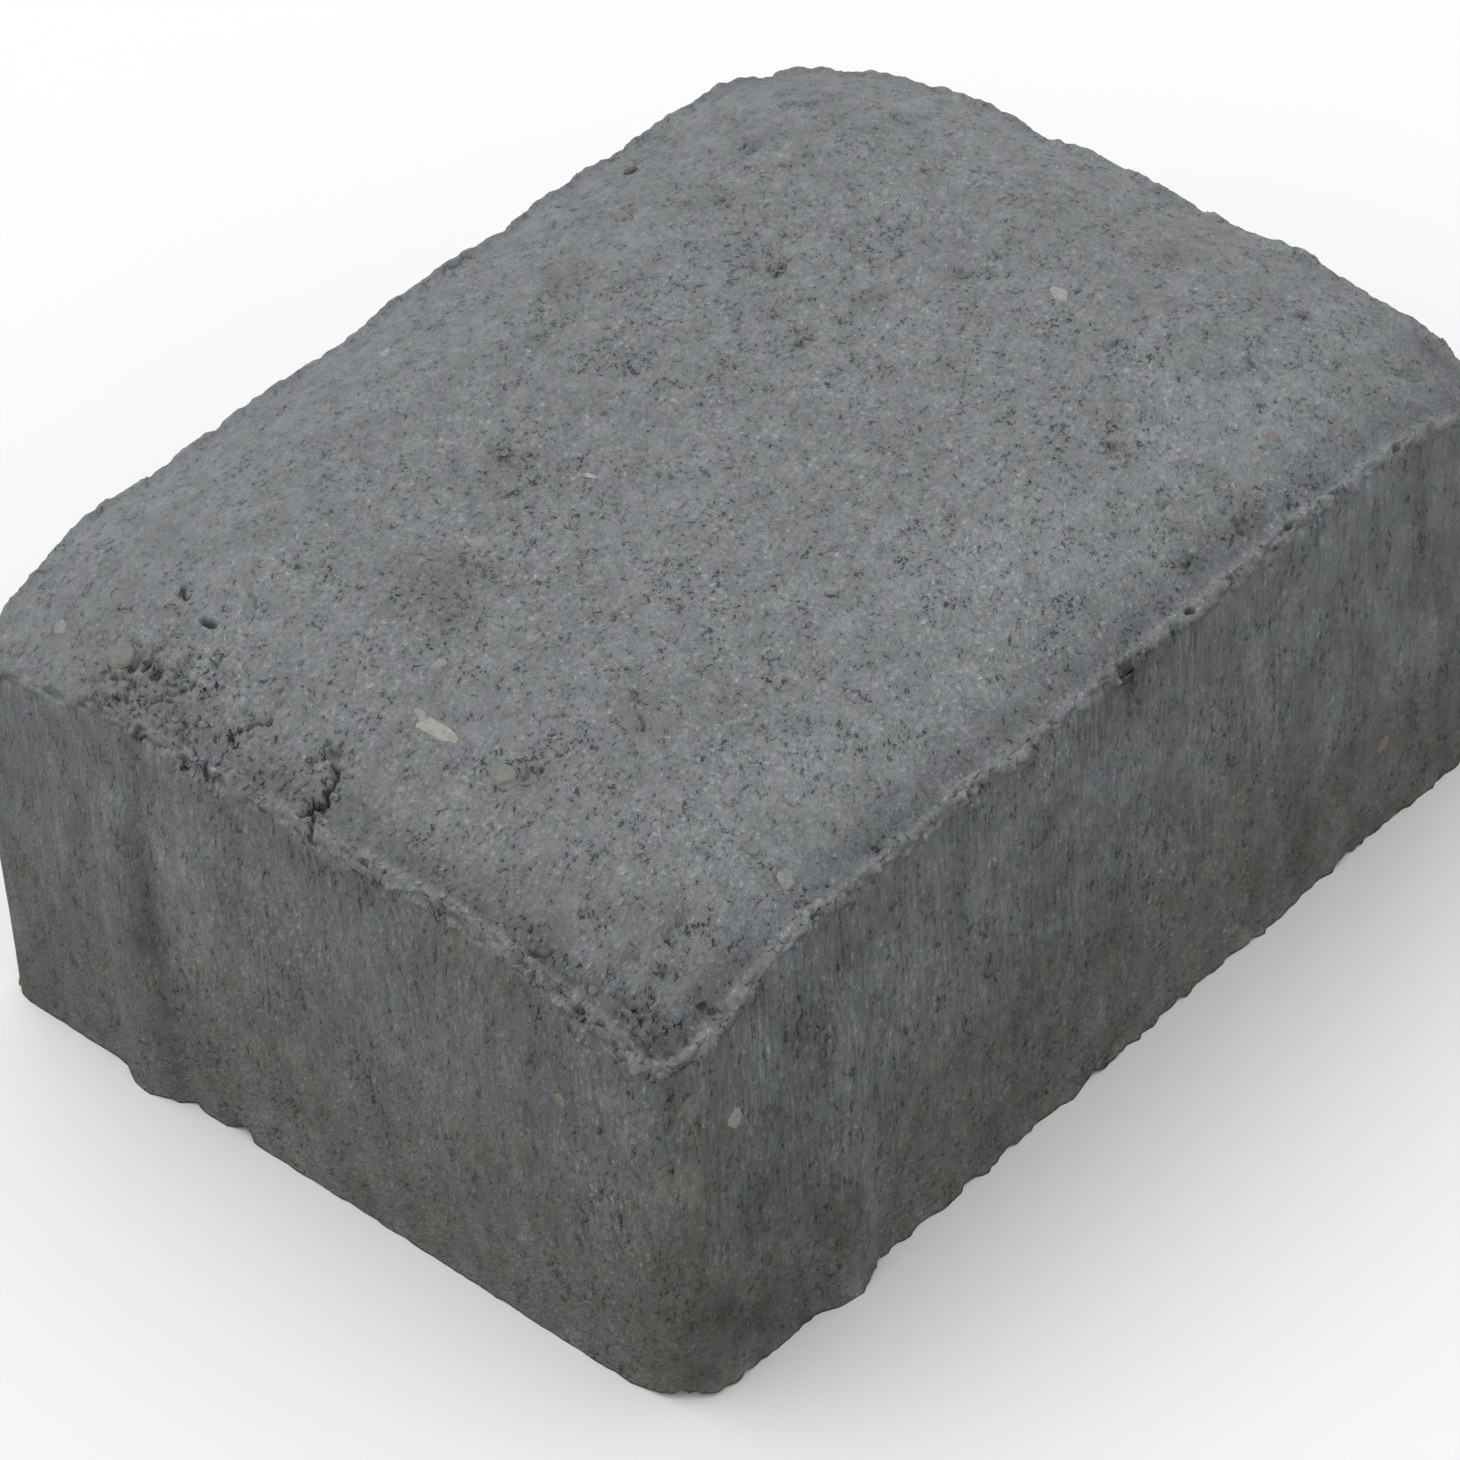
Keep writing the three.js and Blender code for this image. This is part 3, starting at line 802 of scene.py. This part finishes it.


# cast surface: the relief that follows a rule, and the tint, with its painted shade and light, and pores that
# the material reads
cast = {
    "sizes": {  # mm, then changes of tone and shifts towards warm
        "Swell": 0.16, "Lumps": 0.17, "Pit Depth": 0.4,
        "Broken Size": 3.6, "Broken Gap": 0.75, "Broken Step": 0.6, "Crumble": 0.34,
        "Rim Ragged": 1.7, "Rim Chip": 1.1, "Wall Swell": 0.2, "Wall Ridges": 0.1,
        "Foot Bite": 1.1, "Foot Flare": 1.1, "Underside": 0.5,
        # Carved, Pitted and Gap darken the cracks, hollows, pit groups and the gaps between lumps: painted
        # shade
        "Carved Tone": -0.6, "Pitted Tone": -0.12, "Gap Tone": -0.35, "Lip Tone": -0.05,
        # Under Lip lightens the wall below the left rim: painted light; Undercut and Trough darken beside the
        # lip: painted shadow and painted shade
        "Left Lip Tone": 0.12, "Under Lip Tone": 0.16, "Undercut Tone": -0.04, "Trough Tone": -0.26,
        # Low Wall darkens the walls towards the foot: painted shade
        "Shoulder Tone": 0.06, "Low Wall Tone": -0.17,
        # Trough Warmth cools the trough's painted shade
        "Lip Warmth": 0.3, "Trough Warmth": -0.4, "Front Warmth": 0.35, "Patch Warmth": -2.2,
        # Pitted Warmth warms the painted shade of the pit groups
        "Pitted Warmth": 0.5,
        "Patches": 0.24, "Clouds": 0.1, "Patches Left": 0.3, "Patches Front": 1.45,
        "Marks Left": 0.9, "Marks Front": 0.85, "Streaks Left": 1.15, "Streaks Front": 1.85, "Top Sand": 0.7,
    },
    "patterns": {  # size in mm, detail, roughness, seed
        "swell": (11, 2, 0.5, 22), "lumps": (2.6, 2, 0.6, 23), "wallSwell": (20, 2, 0.5, 24),
        "wallRidges": (2.4, 2, 0.6, 25), "underside": (7, 4, 0.7, 26),
        "openGaps": (3.6, 2, 0.6, 31), "openFineGaps": (2.6, 2, 0.6, 37), "ground": (3.5, 1, 0.5, 35),
        "crumble": (1.1, 2, 0.7, 38), "ragged": (2.1, 2, 0.45, 33), "chips": (4.5, 2, 0.6, 36),
        "bite": (3.6, 2, 0.65, 27), "flare": (3, 2, 0.65, 28),
        "clouds": (24, 2, 0.5, 1), "patches": (6, 3, 0.65, 2), "lipUneven": (2.4, 3, 0.7, 12),
        "lipWavy": (5, 2, 0.6, 17), "blue": (4.5, 4, 0.75, 11), "red": (3.2, 3, 0.75, 13),
        "green": (3, 3, 0.75, 16), "crowd": (9, 3, 0.6, 7), "marks": (9, 2, 0.6, 15),
        "streaks": (7, 2, 0.6, 14),
    },
    "ramps": {  # two places, and where they aren't 0 and 1 the two values there
        "wall": (0.6, -0.6), "top": (-0.6, 0.6), "onLip": (0.1, 0.5), "greener": (5, 9),  # mm from the rim
        "lipIn": (0.5, 1.1), "lipOut": (2.3, 1.8), "undercutIn": (-0.4, 0.15), "undercutOut": (1.3, 0.5),
        "troughIn": (1.5, 2.4), "troughOut": (8.5, 2.5), "shoulderIn": (7, 13), "shoulderOut": (30, 18),
        "underLip": (-3.5, -0.3), "lowWall": (-8, -52), "atRim": (2, 0.3),  # less than 0 is down the wall
        "frontSide": (-38, -50), "leftEnd": (45, -5), "frontMarks": (-25, -50, 1, 1.2),  # mm along Y
        "backMarks": (15, 50, 1, 0.5),
        "leftSide": (-62, -72), "rightMarks": (20, 70, -0.04, 0.3),  # mm along X
        "rightStreaks": (0, 60, 1, 0.55), "lowStreaks": (8, 30, 0.35, 1),  # and mm up
        "farRim": (0.3, -0.1, 0.5, 1), "carved": (0.05, 0.9), "gap": (0.085, 0), "fineGap": (0.2, 0),
        "pitWidth": (0, 1, 0.4, 1), "pitSlope": (1, 0.2), "ground": (0.2, 0.75),
        "openGaps": (0.02, 0.3), "openFineGaps": (0.05, 0.3), "chips": (0.05, 0.4), "bite": (0.05, 0.5),
        "lipUneven": (-0.25, 0.25, 0.2, 1.3), "marks": (-0.4, 0.4, 0.75, 1.25),
        "streaks": (-0.35, 0.35, 0.45, 1.5), "crowd": (-0.3, 0.45, -0.06, 0.09),
    },
    "mix": {  # how much of one thing goes into another
        "bendScale": 0.5, "bendReach": 2.4, "fineGapSize": 1.3, "groundInLoose": 0.5, "fineGapDepth": 0.45,
        "lipWave": 1.2, "patchFlat": 0.6, "undercutMost": 1.6,
        "wallHue": 0.6, "wallBlue": 0.25, "blue": 2.8, "red": 2.4, "frontRed": -0.2, "greenerRed": -0.36,
        "looseMarks": 0.35, "streakFlat": 0.3, "ridgeFlat": 0.25,
        "pitSpacing": 4.6, "pitShare": 0.3, "underLift": -0.6, "leastFrail": 0.35, "leastRagged": 0.45,
        "footRough": (0.8, 0.25), "leastFlare": 0.3, "biteInwards": -0.3, "chipInwards": -0.4,
        "pittedCrowd": 0.09, "looseCrowd": 0.03, "wallCrowd": -0.015,
    },
    "tints": {  # linear colours, and the shifts that the patterns give them
        # the walls' tints are warmer than the top's, and warmest at the foot: painted warm bounce light from
        # the ground
        "top": (0.2065, 0.2155, 0.221, 1), "wallHigh": (0.206, 0.2135, 0.2095, 1),
        "wallLow": (0.2095, 0.2135, 0.201, 1),
        "warmShift": (0.005, 0.0, -0.009), "blueShift": (0.0, 0.0, -0.012), "redShift": (0.012, 0.0, 0.0),
        "greenShift": (0.0, 0.009, 0.0),
    },
}


def castRamp(value, name):
    return ramp(value, *cast["ramps"][name])


def castBand(value, name):  # sets in on one side and ends on the other
    return times(castRamp(value, name + "In"), castRamp(value, name + "Out"))


def castNoise(coords, name):  # -1 to 1
    return noise(coords, *cast["patterns"][name])


def castSpots(coords, name):
    return castRamp(castNoise(coords, name), name)


def brokenGround(size, mix, place, loose):  # lumps with open gaps between them, and how deep the gaps are
    bends = {"Vector": place, "Scale": mix["bendScale"], "Detail": 2.0}
    bend = addNode(treeOf(place), "ShaderNodeTexNoise", bends).outputs["Color"]
    bent = joined(place, scaled(bend, mix["bendReach"]))
    coarse = scaled(bent, calc("DIVIDE", 1.0, size["Broken Size"]))
    gap = castRamp(cells(coarse, 1.0, 32, "DISTANCE_TO_EDGE"), "gap")
    _, lot = cells(coarse, 1.0, 32)
    fineGap = castRamp(cells(bent, mix["fineGapSize"], 34, "DISTANCE_TO_EDGE"), "fineGap")
    amount = castRamp(total(loose, times(castNoise(place, "ground"), mix["groundInLoose"])), "ground")
    gaping = largest(times(gap, castSpots(place, "openGaps")),
                     times(fineGap, castSpots(place, "openFineGaps"), mix["fineGapDepth"]))
    depth = times(amount, gaping)
    step = times(amount, minus(lot[0], 0.5), size["Broken Step"])
    crumble = times(amount, castNoise(place, "crumble"), size["Crumble"])
    return total(step, crumble, times(depth, size["Broken Gap"], -1.0)), depth


def facingShares(tree):  # how much a wall point looks along X, and along Y
    facing = axes(readVector(tree, "outward"))
    wall = castRamp(readNumber(tree, "edge"), "wall")
    return times(facing[0], facing[0], wall), times(facing[1], facing[1], wall)


def farShare(place):  # -2 at the near corner, 2 at the far one
    here = axes(place)
    return total(times(here[0], 1 / halfLength), times(here[1], 1 / halfWidth))


def surfaceTintAndShade(tree, size, mix, place, depth):
    edge, onWall, pitted = (readNumber(tree, name) for name in ("edge", "wallShare", "pitted"))
    alongX, alongY = facingShares(tree)
    here = axes(place)
    front = castRamp(here[1], "frontSide")
    left = times(castRamp(here[0], "leftSide"), castRamp(here[1], "leftEnd"))
    uneven = castSpots(place, "lipUneven")
    wavy = total(edge, times(castNoise(place, "lipWavy"), mix["lipWave"]))
    lip = times(castBand(wavy, "lip"), castRamp(edge, "onLip"), uneven)
    # painted shade in the trough inside the front and left rim
    trough = times(castBand(edge, "trough"), largest(front, left))
    patchShare = total(1.0, times(alongX, size["Patches Left"]), times(alongY, size["Patches Front"]))
    drawn = flattened(place, mix["patchFlat"])
    patches = total(times(castNoise(drawn, "clouds"), size["Clouds"], patchShare),
                    times(castNoise(drawn, "patches"), size["Patches"], patchShare))
    # painted shade: the walls darker towards the foot
    low = times(onWall, castRamp(edge, "lowWall"))
    tonesAndShade = {
        # painted shade in the cracks, hollows and pit groups
        "Carved Tone": castRamp(readNumber(tree, "carved"), "carved"), "Pitted Tone": pitted,
        # painted shade in the gaps between broken lumps
        "Gap Tone": depth, "Lip Tone": lip, "Left Lip Tone": times(lip, left),
        # painted light on the wall below the left rim
        "Under Lip Tone": times(castRamp(edge, "underLip"), alongX),
        # painted shadow on the rim beside the lip
        "Undercut Tone": times(castBand(edge, "undercut"), minus(mix["undercutMost"], uneven)),
        # painted shade in the trough
        "Trough Tone": trough, "Shoulder Tone": times(castBand(edge, "shoulder"), front),
        # painted shade towards the foot of the walls
        "Low Wall Tone": low,
    }
    # patches, stains and the painted shade and light above
    toneAndShade = total(patches, *weighted(size, tonesAndShade), readNumber(tree, "stain"))

    greener = times(front, castRamp(edge, "greener"))
    # the trough's and the pit groups' warmth tints their painted shade
    warms = {"Lip Warmth": lip, "Trough Warmth": trough, "Front Warmth": greener, "Patch Warmth": patches,
             "Pitted Warmth": pitted}
    wallHue = onePlus(onWall, mix["wallHue"])
    shifts = {
        "warmShift": total(readNumber(tree, "warmth"), *weighted(size, warms)),
        "blueShift": times(castNoise(place, "blue"), onePlus(onWall, mix["wallBlue"]), mix["blue"]),
        "redShift": total(times(castNoise(place, "red"), wallHue, mix["red"]),
                          times(alongY, mix["frontRed"]), times(greener, mix["greenerRed"])),
        "greenShift": times(castNoise(place, "green"), wallHue),
    }
    # the walls warm towards the foot: painted bounce light
    wall = blend(low, cast["tints"]["wallHigh"], cast["tints"]["wallLow"])
    tint = blend(castRamp(edge, "wall"), cast["tints"]["top"], wall)
    for name, amount in shifts.items():
        tint = joined(tint, scaled(cast["tints"][name], amount))
    return scaled(tint, total(1.0, toneAndShade))


def markStrength(tree, size, mix, place):  # contrast of the marks, and of the upright streaks on the walls
    alongX, alongY = facingShares(tree)
    onTop = castRamp(readNumber(tree, "edge"), "top")
    x, y, z = axes(place)
    walls = times(total(*weighted(size, {"Marks Left": alongX, "Marks Front": alongY})),
                  castRamp(y, "frontMarks"))
    finer = minus(castRamp(y, "backMarks"), castRamp(x, "rightMarks"))
    contrast = times(total(onTop, walls, times(readNumber(tree, "loose"), mix["looseMarks"])),
                     castSpots(place, "marks"), finer)
    shares = weighted(size, {"Streaks Left": alongX, "Streaks Front": alongY})
    streaks = times(total(*shares), castSpots(flattened(place, mix["streakFlat"]), "streaks"),
                    castRamp(z, "lowStreaks"), castRamp(x, "rightStreaks"))
    return contrast, calc("MULTIPLY_ADD", onTop, size["Top Sand"], streaks)


def castTree(sizes, mix):
    tree, size, out = newShapeTree("cast surface", sizes)
    place, outward = readVector(tree, "place"), readVector(tree, "outward")
    onWall, under, foot, edge, loose, pitted = (
        readNumber(tree, name) for name in ("wallShare", "underShare", "foot", "edge", "loose", "pitted"))
    onTop = calc("SUBTRACT", 1.0, total(onWall, under), clamp=True)
    brokenMove, depth = brokenGround(size, mix, place, loose)

    # scattered pits
    reach, chance = cells(place, mix["pitSpacing"], 21)
    across = calc("DIVIDE", reach, castRamp(chance[1], "pitWidth"))
    pit = times(castRamp(across, "pitSlope"), calc("LESS_THAN", chance[0], mix["pitShare"]))

    # how far each part moves out of its face
    topMove = total(times(castNoise(place, "swell"), size["Swell"]),
                    times(castNoise(place, "lumps"), size["Lumps"]),
                    times(pit, size["Pit Depth"], -1.0), brokenMove)
    ridges = castNoise(flattened(place, mix["ridgeFlat"]), "wallRidges")
    wallMove = total(times(castNoise(place, "wallSwell"), size["Wall Swell"]),
                     times(ridges, size["Wall Ridges"]))
    underMove = times(total(castNoise(place, "underside"), mix["underLift"]), size["Underside"])
    frail = total(loose, mix["leastFrail"])
    atRim = castRamp(calc("ABSOLUTE", edge), "atRim")
    ragged = times(atRim, castNoise(place, "ragged"), size["Rim Ragged"],
                   total(frail, mix["leastRagged"]), castRamp(farShare(place), "farRim"))
    move = total(times(onTop, topMove), times(onWall, wallMove), times(under, underMove), ragged)

    # chips break off the rim, and the foot is bitten and pressed out
    chip = times(atRim, castSpots(place, "chips"), frail)
    facing = axes(outward)
    rough = calc("MULTIPLY_ADD", times(facing[1], facing[1]), *mix["footRough"])  # most along the length
    atFoot = times(foot, foot, rough)
    bite = times(castSpots(place, "bite"), size["Foot Bite"], atFoot)
    flare = times(total(castNoise(place, "flare"), mix["leastFlare"]), size["Foot Flare"], atFoot,
                  foot, foot, foot, foot)
    sideways = total(flare, times(bite, mix["biteInwards"]), times(chip, mix["chipInwards"]))
    upwards = total(bite, times(chip, size["Rim Chip"], -1.0))

    normal = tree.nodes.new("GeometryNodeInputNormal").outputs[0]
    offset = joined(scaled(normal, times(move, mm)), scaled(outward, times(sideways, mm)))
    offset = joined(offset, vector(z=times(upwards, mm)))

    crowd = total(castSpots(place, "crowd"), times(pitted, mix["pittedCrowd"]),
                  times(loose, mix["looseCrowd"]), times(onWall, mix["wallCrowd"]))
    contrast, streaks = markStrength(tree, size, mix, place)
    # the tint holds the surface colour with its painted shade and light
    geometry = store(size["Geometry"], "tint", surfaceTintAndShade(tree, size, mix, place, depth), "FLOAT_COLOR")
    for name, value in {"crowd": crowd, "contrast": contrast, "streaks": streaks}.items():
        geometry = store(geometry, name, value)
    moved = addNode(tree, "GeometryNodeSetPosition", {"Geometry": geometry, "Offset": offset}).outputs[0]
    return finishShape(tree, out, moved, concrete)


runTree(stone, castTree(cast["sizes"], cast["mix"]), cast["sizes"])
stone.data.shade_smooth()
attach(stone, "root")
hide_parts("paving_stone")
print("stone skin done: %d triangles" % triangleCount(stone))


# exposed aggregate: broken stones that lie flush in the surface
sides = {  # direction that looks at the side, then the two directions along it
    "top": ((0, 0, -1), (1, 0, 0), (0, 1, 0)),
    "left": ((1, 0, 0), (0, 1, 0), (0, 0, 1)),
    "front": ((0, 1, 0), (1, 0, 0), (0, 0, 1)),
}
exposed = {  # mm: side, place along it, length, width, turn in degrees, tint
    "stones": (
        ("top", (-60.9, -8.2), 6.4, 2.3, 96, "bone"), ("top", (-60.5, -5.0), 3.4, 1.2, 70, "pale"),
        ("top", (-61.6, -19.0), 4.0, 2.8, 88, "olive"), ("top", (-71.9, 33.9), 4.6, 3.4, 80, "olive"),
        ("top", (44.8, -13.8), 4.0, 2.2, 60, "bone"), ("top", (41.6, -13.0), 1.6, 1.2, 20, "pale"),
        ("top", (-17.4, 8.1), 2.6, 0.8, 110, "chalk"), ("top", (-11.9, 48.3), 2.4, 1.4, 50, "chalk"),
        ("top", (33.3, -34.3), 1.8, 1.1, 70, "pale"), ("top", (-53.6, -1.6), 2.0, 1.5, 10, "pale"),
        ("top", (57.6, -29.4), 2.2, 0.8, 0, "pale"), ("top", (35.5, 50.3), 2.4, 1.6, 0, "brown"),
        ("top", (-25.8, 44.9), 2.2, 1.4, 20, "ochre"), ("top", (-23.9, -57.2), 3.0, 1.3, 0, "ochre"),
        ("top", (-51.4, -52.9), 2.8, 2.2, 40, "pale"), ("top", (-51.8, -48.0), 2.6, 1.7, 120, "olive"),
        ("top", (56.9, 2.8), 2.6, 1.6, 30, "rust"), ("top", (43.5, -47.8), 2.4, 1.5, 80, "rust"),
        ("top", (-70.5, 46.3), 2.8, 1.8, 60, "pink"), ("top", (-43.5, -7.0), 2.6, 2.0, 35, "pink"),
        ("top", (-35.0, 10.0), 3.0, 2.2, 140, "pink"), ("top", (-40.0, 38.0), 2.6, 1.6, 30, "beige"),
        ("left", (-41.4, 42.0), 2.2, 1.7, 60, "ochre"),
        ("front", (-67.8, 41.6), 2.6, 3.0, 0, "bone"), ("front", (53.5, 13.9), 3.0, 2.2, 30, "rust"),
    ),
    "rise": 0.14, "depth": 0.7, "corners": 7, "rounded": ("olive", "brown"), "pebbleRise": 0.4,
    "rings": ((0.84, None), (1.0, -0.3), (0.86, 0.7), (0.45, 1.0)),  # share of the size, and of the rise
    "tints": {
        "chalk": (0.37, 0.37, 0.36), "bone": (0.335, 0.335, 0.312), "pale": (0.285, 0.285, 0.27),
        "beige": (0.222, 0.222, 0.204), "olive": (0.196, 0.203, 0.188), "ochre": (0.27, 0.25, 0.205),
        "rust": (0.226, 0.193, 0.178), "pink": (0.255, 0.24, 0.238), "brown": (0.11, 0.10, 0.092),
    },
    "cornerShift": 0.35, "armShares": (0.86, 1.02), "pebbleArms": (0.94, 1.02), "middleShares": (0.94, 1.03),
    "pebbleRound": 0.98, "liftAt": 0.45, "crown": 1.05,  # the last is a share of the rise
    "uneven": 0.05, "shadeSpread": 0.04, "veinShade": 0.5, "veinRise": 0.15,
    "veins": (1.1, 3, 0.75, 2),  # mm, detail, roughness, seed
    "roughness": (0.65, 0.9), "specular": 0.35,
}


finished = bmesh.new()
finished.from_mesh(stone.data)
skinHits = BVHTree.FromBMesh(finished)
finished.free()
stepBack = 0.2  # metres, so that a ray starts well outside


def stoneOutline(s, rounded, random):  # uneven corners, and a point between each two
    corners, shift = s["corners"], s["cornerShift"]
    angles = (np.arange(corners) + random.uniform(-shift, shift, corners)) * 2 * np.pi / corners
    power = 2 if rounded else 4
    boxy = (np.abs(np.cos(angles)) ** power + np.abs(np.sin(angles)) ** power) ** (-1 / power)
    arms = boxy * random.uniform(*s["pebbleArms" if rounded else "armShares"], corners)
    tips = np.stack([arms * np.cos(angles), arms * np.sin(angles)], 1)
    middles = (tips + np.roll(tips, -1, 0)) / 2 * random.uniform(*s["middleShares"], corners)[:, None]
    if rounded:
        middles /= np.linalg.norm(middles, axis=1)[:, None] / s["pebbleRound"]
    return np.stack([tips, middles], 1).reshape(-1, 2) / 2


def skinLift(place, look):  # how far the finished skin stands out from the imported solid
    start = place - look * stepBack
    return (solid.ray_cast(start, look)[0] - skinHits.ray_cast(start, look)[0]).dot(look)


def pressedStone(work, tintLayer, side, at, length, width, turn, tint, s, random):
    look, right, up = (Vector(v) for v in sides[side])
    angle = math.radians(turn)
    long = right * math.cos(angle) + up * math.sin(angle)
    across = up * math.cos(angle) - right * math.sin(angle)
    rounded = tint in s["rounded"]
    outline = stoneOutline(s, rounded, random)
    highest = s["pebbleRise"] if rounded else s["rise"]
    count = len(outline)
    middle = right * at[0] + up * at[1]
    ends = [direction * size * share for direction, size in ((long, length), (across, width))
            for share in (-s["liftAt"], s["liftAt"])]
    lift = max(skinLift((middle + offset) * mm, look) for offset in (Vector(), *ends))

    def onSurface(offset, rise):
        hit = solid.ray_cast((middle + offset) * mm - look * stepBack, look)[0]
        return work.verts.new(hit - look * (rise * mm + lift))

    rings = []
    for share, riseShare in s["rings"]:
        rise = -s["depth"] if riseShare is None else riseShare * highest
        ring = []
        for along, aside in outline * share:
            uneven = s["uneven"] * random.standard_normal() if rise > 0 else 0
            ring.append(onSurface(long * length * along + across * width * aside, rise + uneven))
        rings.append(ring)
    for lower, upper in zip(rings, rings[1:]):
        for k in range(count):
            work.faces.new((lower[k], lower[(k + 1) % count], upper[(k + 1) % count], upper[k]))
    crown, base = onSurface(Vector(), s["crown"] * highest), onSurface(Vector(), -s["depth"])
    for k in range(count):
        work.faces.new((rings[-1][k], rings[-1][(k + 1) % count], crown))
        work.faces.new((rings[0][(k + 1) % count], rings[0][k], base))
    shade = 1 + s["shadeSpread"] * random.standard_normal()
    for v in sum(rings, [crown, base]):
        v[tintLayer] = (*(c * shade for c in s["tints"][tint]), 1)


def exposedMaterial(s):
    material, tree, shader = newMaterial("exposed_stone")
    veins = noise(placeOnPiece(tree), *s["veins"])
    colour = scaled(readColour(tree, "tint"), total(1.0, times(veins, s["veinShade"])))
    finishMaterial(tree, shader, colour, ramp(veins, -1, 1, *s["roughness"]), s["specular"],
                   times(veins, s["veinRise"]))
    return material


def exposedStones(s):
    random = np.random.default_rng(17)
    work = bmesh.new()
    tintLayer = work.verts.layers.float_color.new("tint")
    for row in s["stones"]:
        pressedStone(work, tintLayer, *row, s, random)
    bmesh.ops.recalc_face_normals(work, faces=work.faces)
    mesh = bpy.data.meshes.new("exposed_stones")
    work.to_mesh(mesh)
    work.free()
    mesh.materials.append(exposedMaterial(s))
    piece = newPiece("exposed_stones", mesh)
    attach(piece, "root")


exposedStones(exposed)
print("exposed stones pressed in: %d" % len(exposed["stones"]))


# crumbs and sand standing on the skin
looseLook = {
    "common": (0.196, 0.206, 0.211, 1), "pale": (0.25, 0.248, 0.238, 1), "paler": (0.6, 1.0),
    "grit": (0.5, 2, 0.7, 3),  # mm, detail, roughness, seed
    "gritShade": 0.35, "gritRise": 0.08,  # mm
    "roughness": 0.9, "specular": 0.25,
}
sandSizes = {  # grains for each square mm, then sizes in mm
    "On Top": 0.04, "In Loose Spots": 0.3, "On Rim": 0.12, "On Foot": 0.15,
    "Smallest": 0.2, "Largest": 0.55, "Roundness": 1, "Seed": 3,
}
crumbSizes = {
    "On Top": 0.001, "In Loose Spots": 0.035, "On Rim": 0.004, "On Foot": 0.0,
    "Smallest": 0.6, "Largest": 1.5, "Roundness": 2, "Seed": 8,
}
grainRules = {
    "shapes": 4, "flattest": (0.8, 0.65, 0.5), "roundest": (1.2, 1.0, 0.85),
    "knock": 0.9, "mostlySmall": 2.5,  # a higher power makes more of them small
    "topFrom": (-0.9, -0.5), "rimIn": (-0.8, -0.2), "rimOut": (3.0, 1.0),  # mm from the rim
    "farRim": (0.3, -0.1, 0.2), "footIn": (0.75, 0.85), "footEnd": 0.92,
    "turn": (6.283, 6.283, 6.283),  # radians
}


def sandMaterial(look):
    material, tree, shader = newMaterial("loose_sand")
    tint = blend(ramp(readNumber(tree, "lot"), *look["paler"]), look["common"], look["pale"])
    grit = noise(placeOnPiece(tree), *look["grit"])
    colour = scaled(tint, total(1.0, times(grit, look["gritShade"])))
    finishMaterial(tree, shader, colour, look["roughness"], look["specular"], times(grit, look["gritRise"]))
    return material


def angularGrain(tree, size, rules, seed):  # a knocked ball, then its hull: few flat faces
    ball = addNode(tree, "GeometryNodeMeshIcoSphere",
                   {"Radius": mm, "Subdivisions": size["Roundness"]}).outputs[0]
    here = tree.nodes.new("GeometryNodeInputPosition").outputs[0]
    knock = noise(scaled(here, 1 / mm), 1.0, 1, 0.6, seed)
    offset = scaled(here, times(knock, rules["knock"]))
    knocked = addNode(tree, "GeometryNodeSetPosition", {"Geometry": ball, "Offset": offset}).outputs[0]
    hull = addNode(tree, "GeometryNodeConvexHull", {"Geometry": knocked}).outputs[0]
    return addNode(tree, "GeometryNodeGeometryToInstance", {0: hull}).outputs[0]


def chanceOf(tree, low, high, seed, kind="FLOAT"):
    return addNode(tree, "FunctionNodeRandomValue", {"Min": low, "Max": high, "Seed": seed},
                   data_type=kind).outputs["Value"]


def grainTree(name, sizes, rules, material):
    tree, size, out = newShapeTree(name, sizes)
    loose, edge, foot = (readNumber(tree, layer) for layer in ("loose", "edge", "foot"))
    shares = {
        "On Top": ramp(edge, *rules["topFrom"]), "In Loose Spots": loose,
        "On Rim": times(ramp(edge, *rules["rimIn"]), ramp(edge, *rules["rimOut"]),
                        ramp(farShare(readVector(tree, "place")), *rules["farRim"])),
        "On Foot": times(ramp(foot, *rules["footIn"]), calc("LESS_THAN", foot, rules["footEnd"])),
    }
    density = times(total(*weighted(size, shares)), 1 / mm / mm)
    spread = addNode(tree, "GeometryNodeDistributePointsOnFaces",
                     {"Mesh": size["Geometry"], "Density": density, "Seed": size["Seed"]})
    grains = tree.nodes.new("GeometryNodeJoinGeometry")
    for k in range(rules["shapes"]):
        plug(grains, {0: angularGrain(tree, size, rules, 41 + k)})
    share = calc("POWER", chanceOf(tree, 0.0, 1.0, 3), rules["mostlySmall"])
    big = calc("MULTIPLY_ADD", share, minus(size["Largest"], size["Smallest"]), size["Smallest"])
    flat = chanceOf(tree, rules["flattest"], rules["roundest"], 4, "FLOAT_VECTOR")
    shape = chanceOf(tree, 0, rules["shapes"] - 1, 1, "INT")
    placed = addNode(tree, "GeometryNodeInstanceOnPoints",
                     {"Points": spread.outputs["Points"], "Instance": grains.outputs[0],
                      "Pick Instance": True, "Instance Index": shape,
                      "Rotation": chanceOf(tree, (0, 0, 0), rules["turn"], 2, "FLOAT_VECTOR"),
                      "Scale": scaled(flat, times(big, 0.5))}).outputs[0]
    placed = store(placed, "lot", chanceOf(tree, 0.0, 1.0, 5), domain="INSTANCE")
    return finishShape(tree, out, placed, material)


def scatter(name, sizes, rules, material):
    piece = newPiece(name, stone.data.copy())
    runTree(piece, grainTree(name, sizes, rules, material), sizes)
    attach(piece, "root")
    print("%s: %d triangles" % (name, triangleCount(piece)))


looseSand = sandMaterial(looseLook)
scatter("sand_grains", sandSizes, grainRules, looseSand)
scatter("crumbs", crumbSizes, grainRules, looseSand)
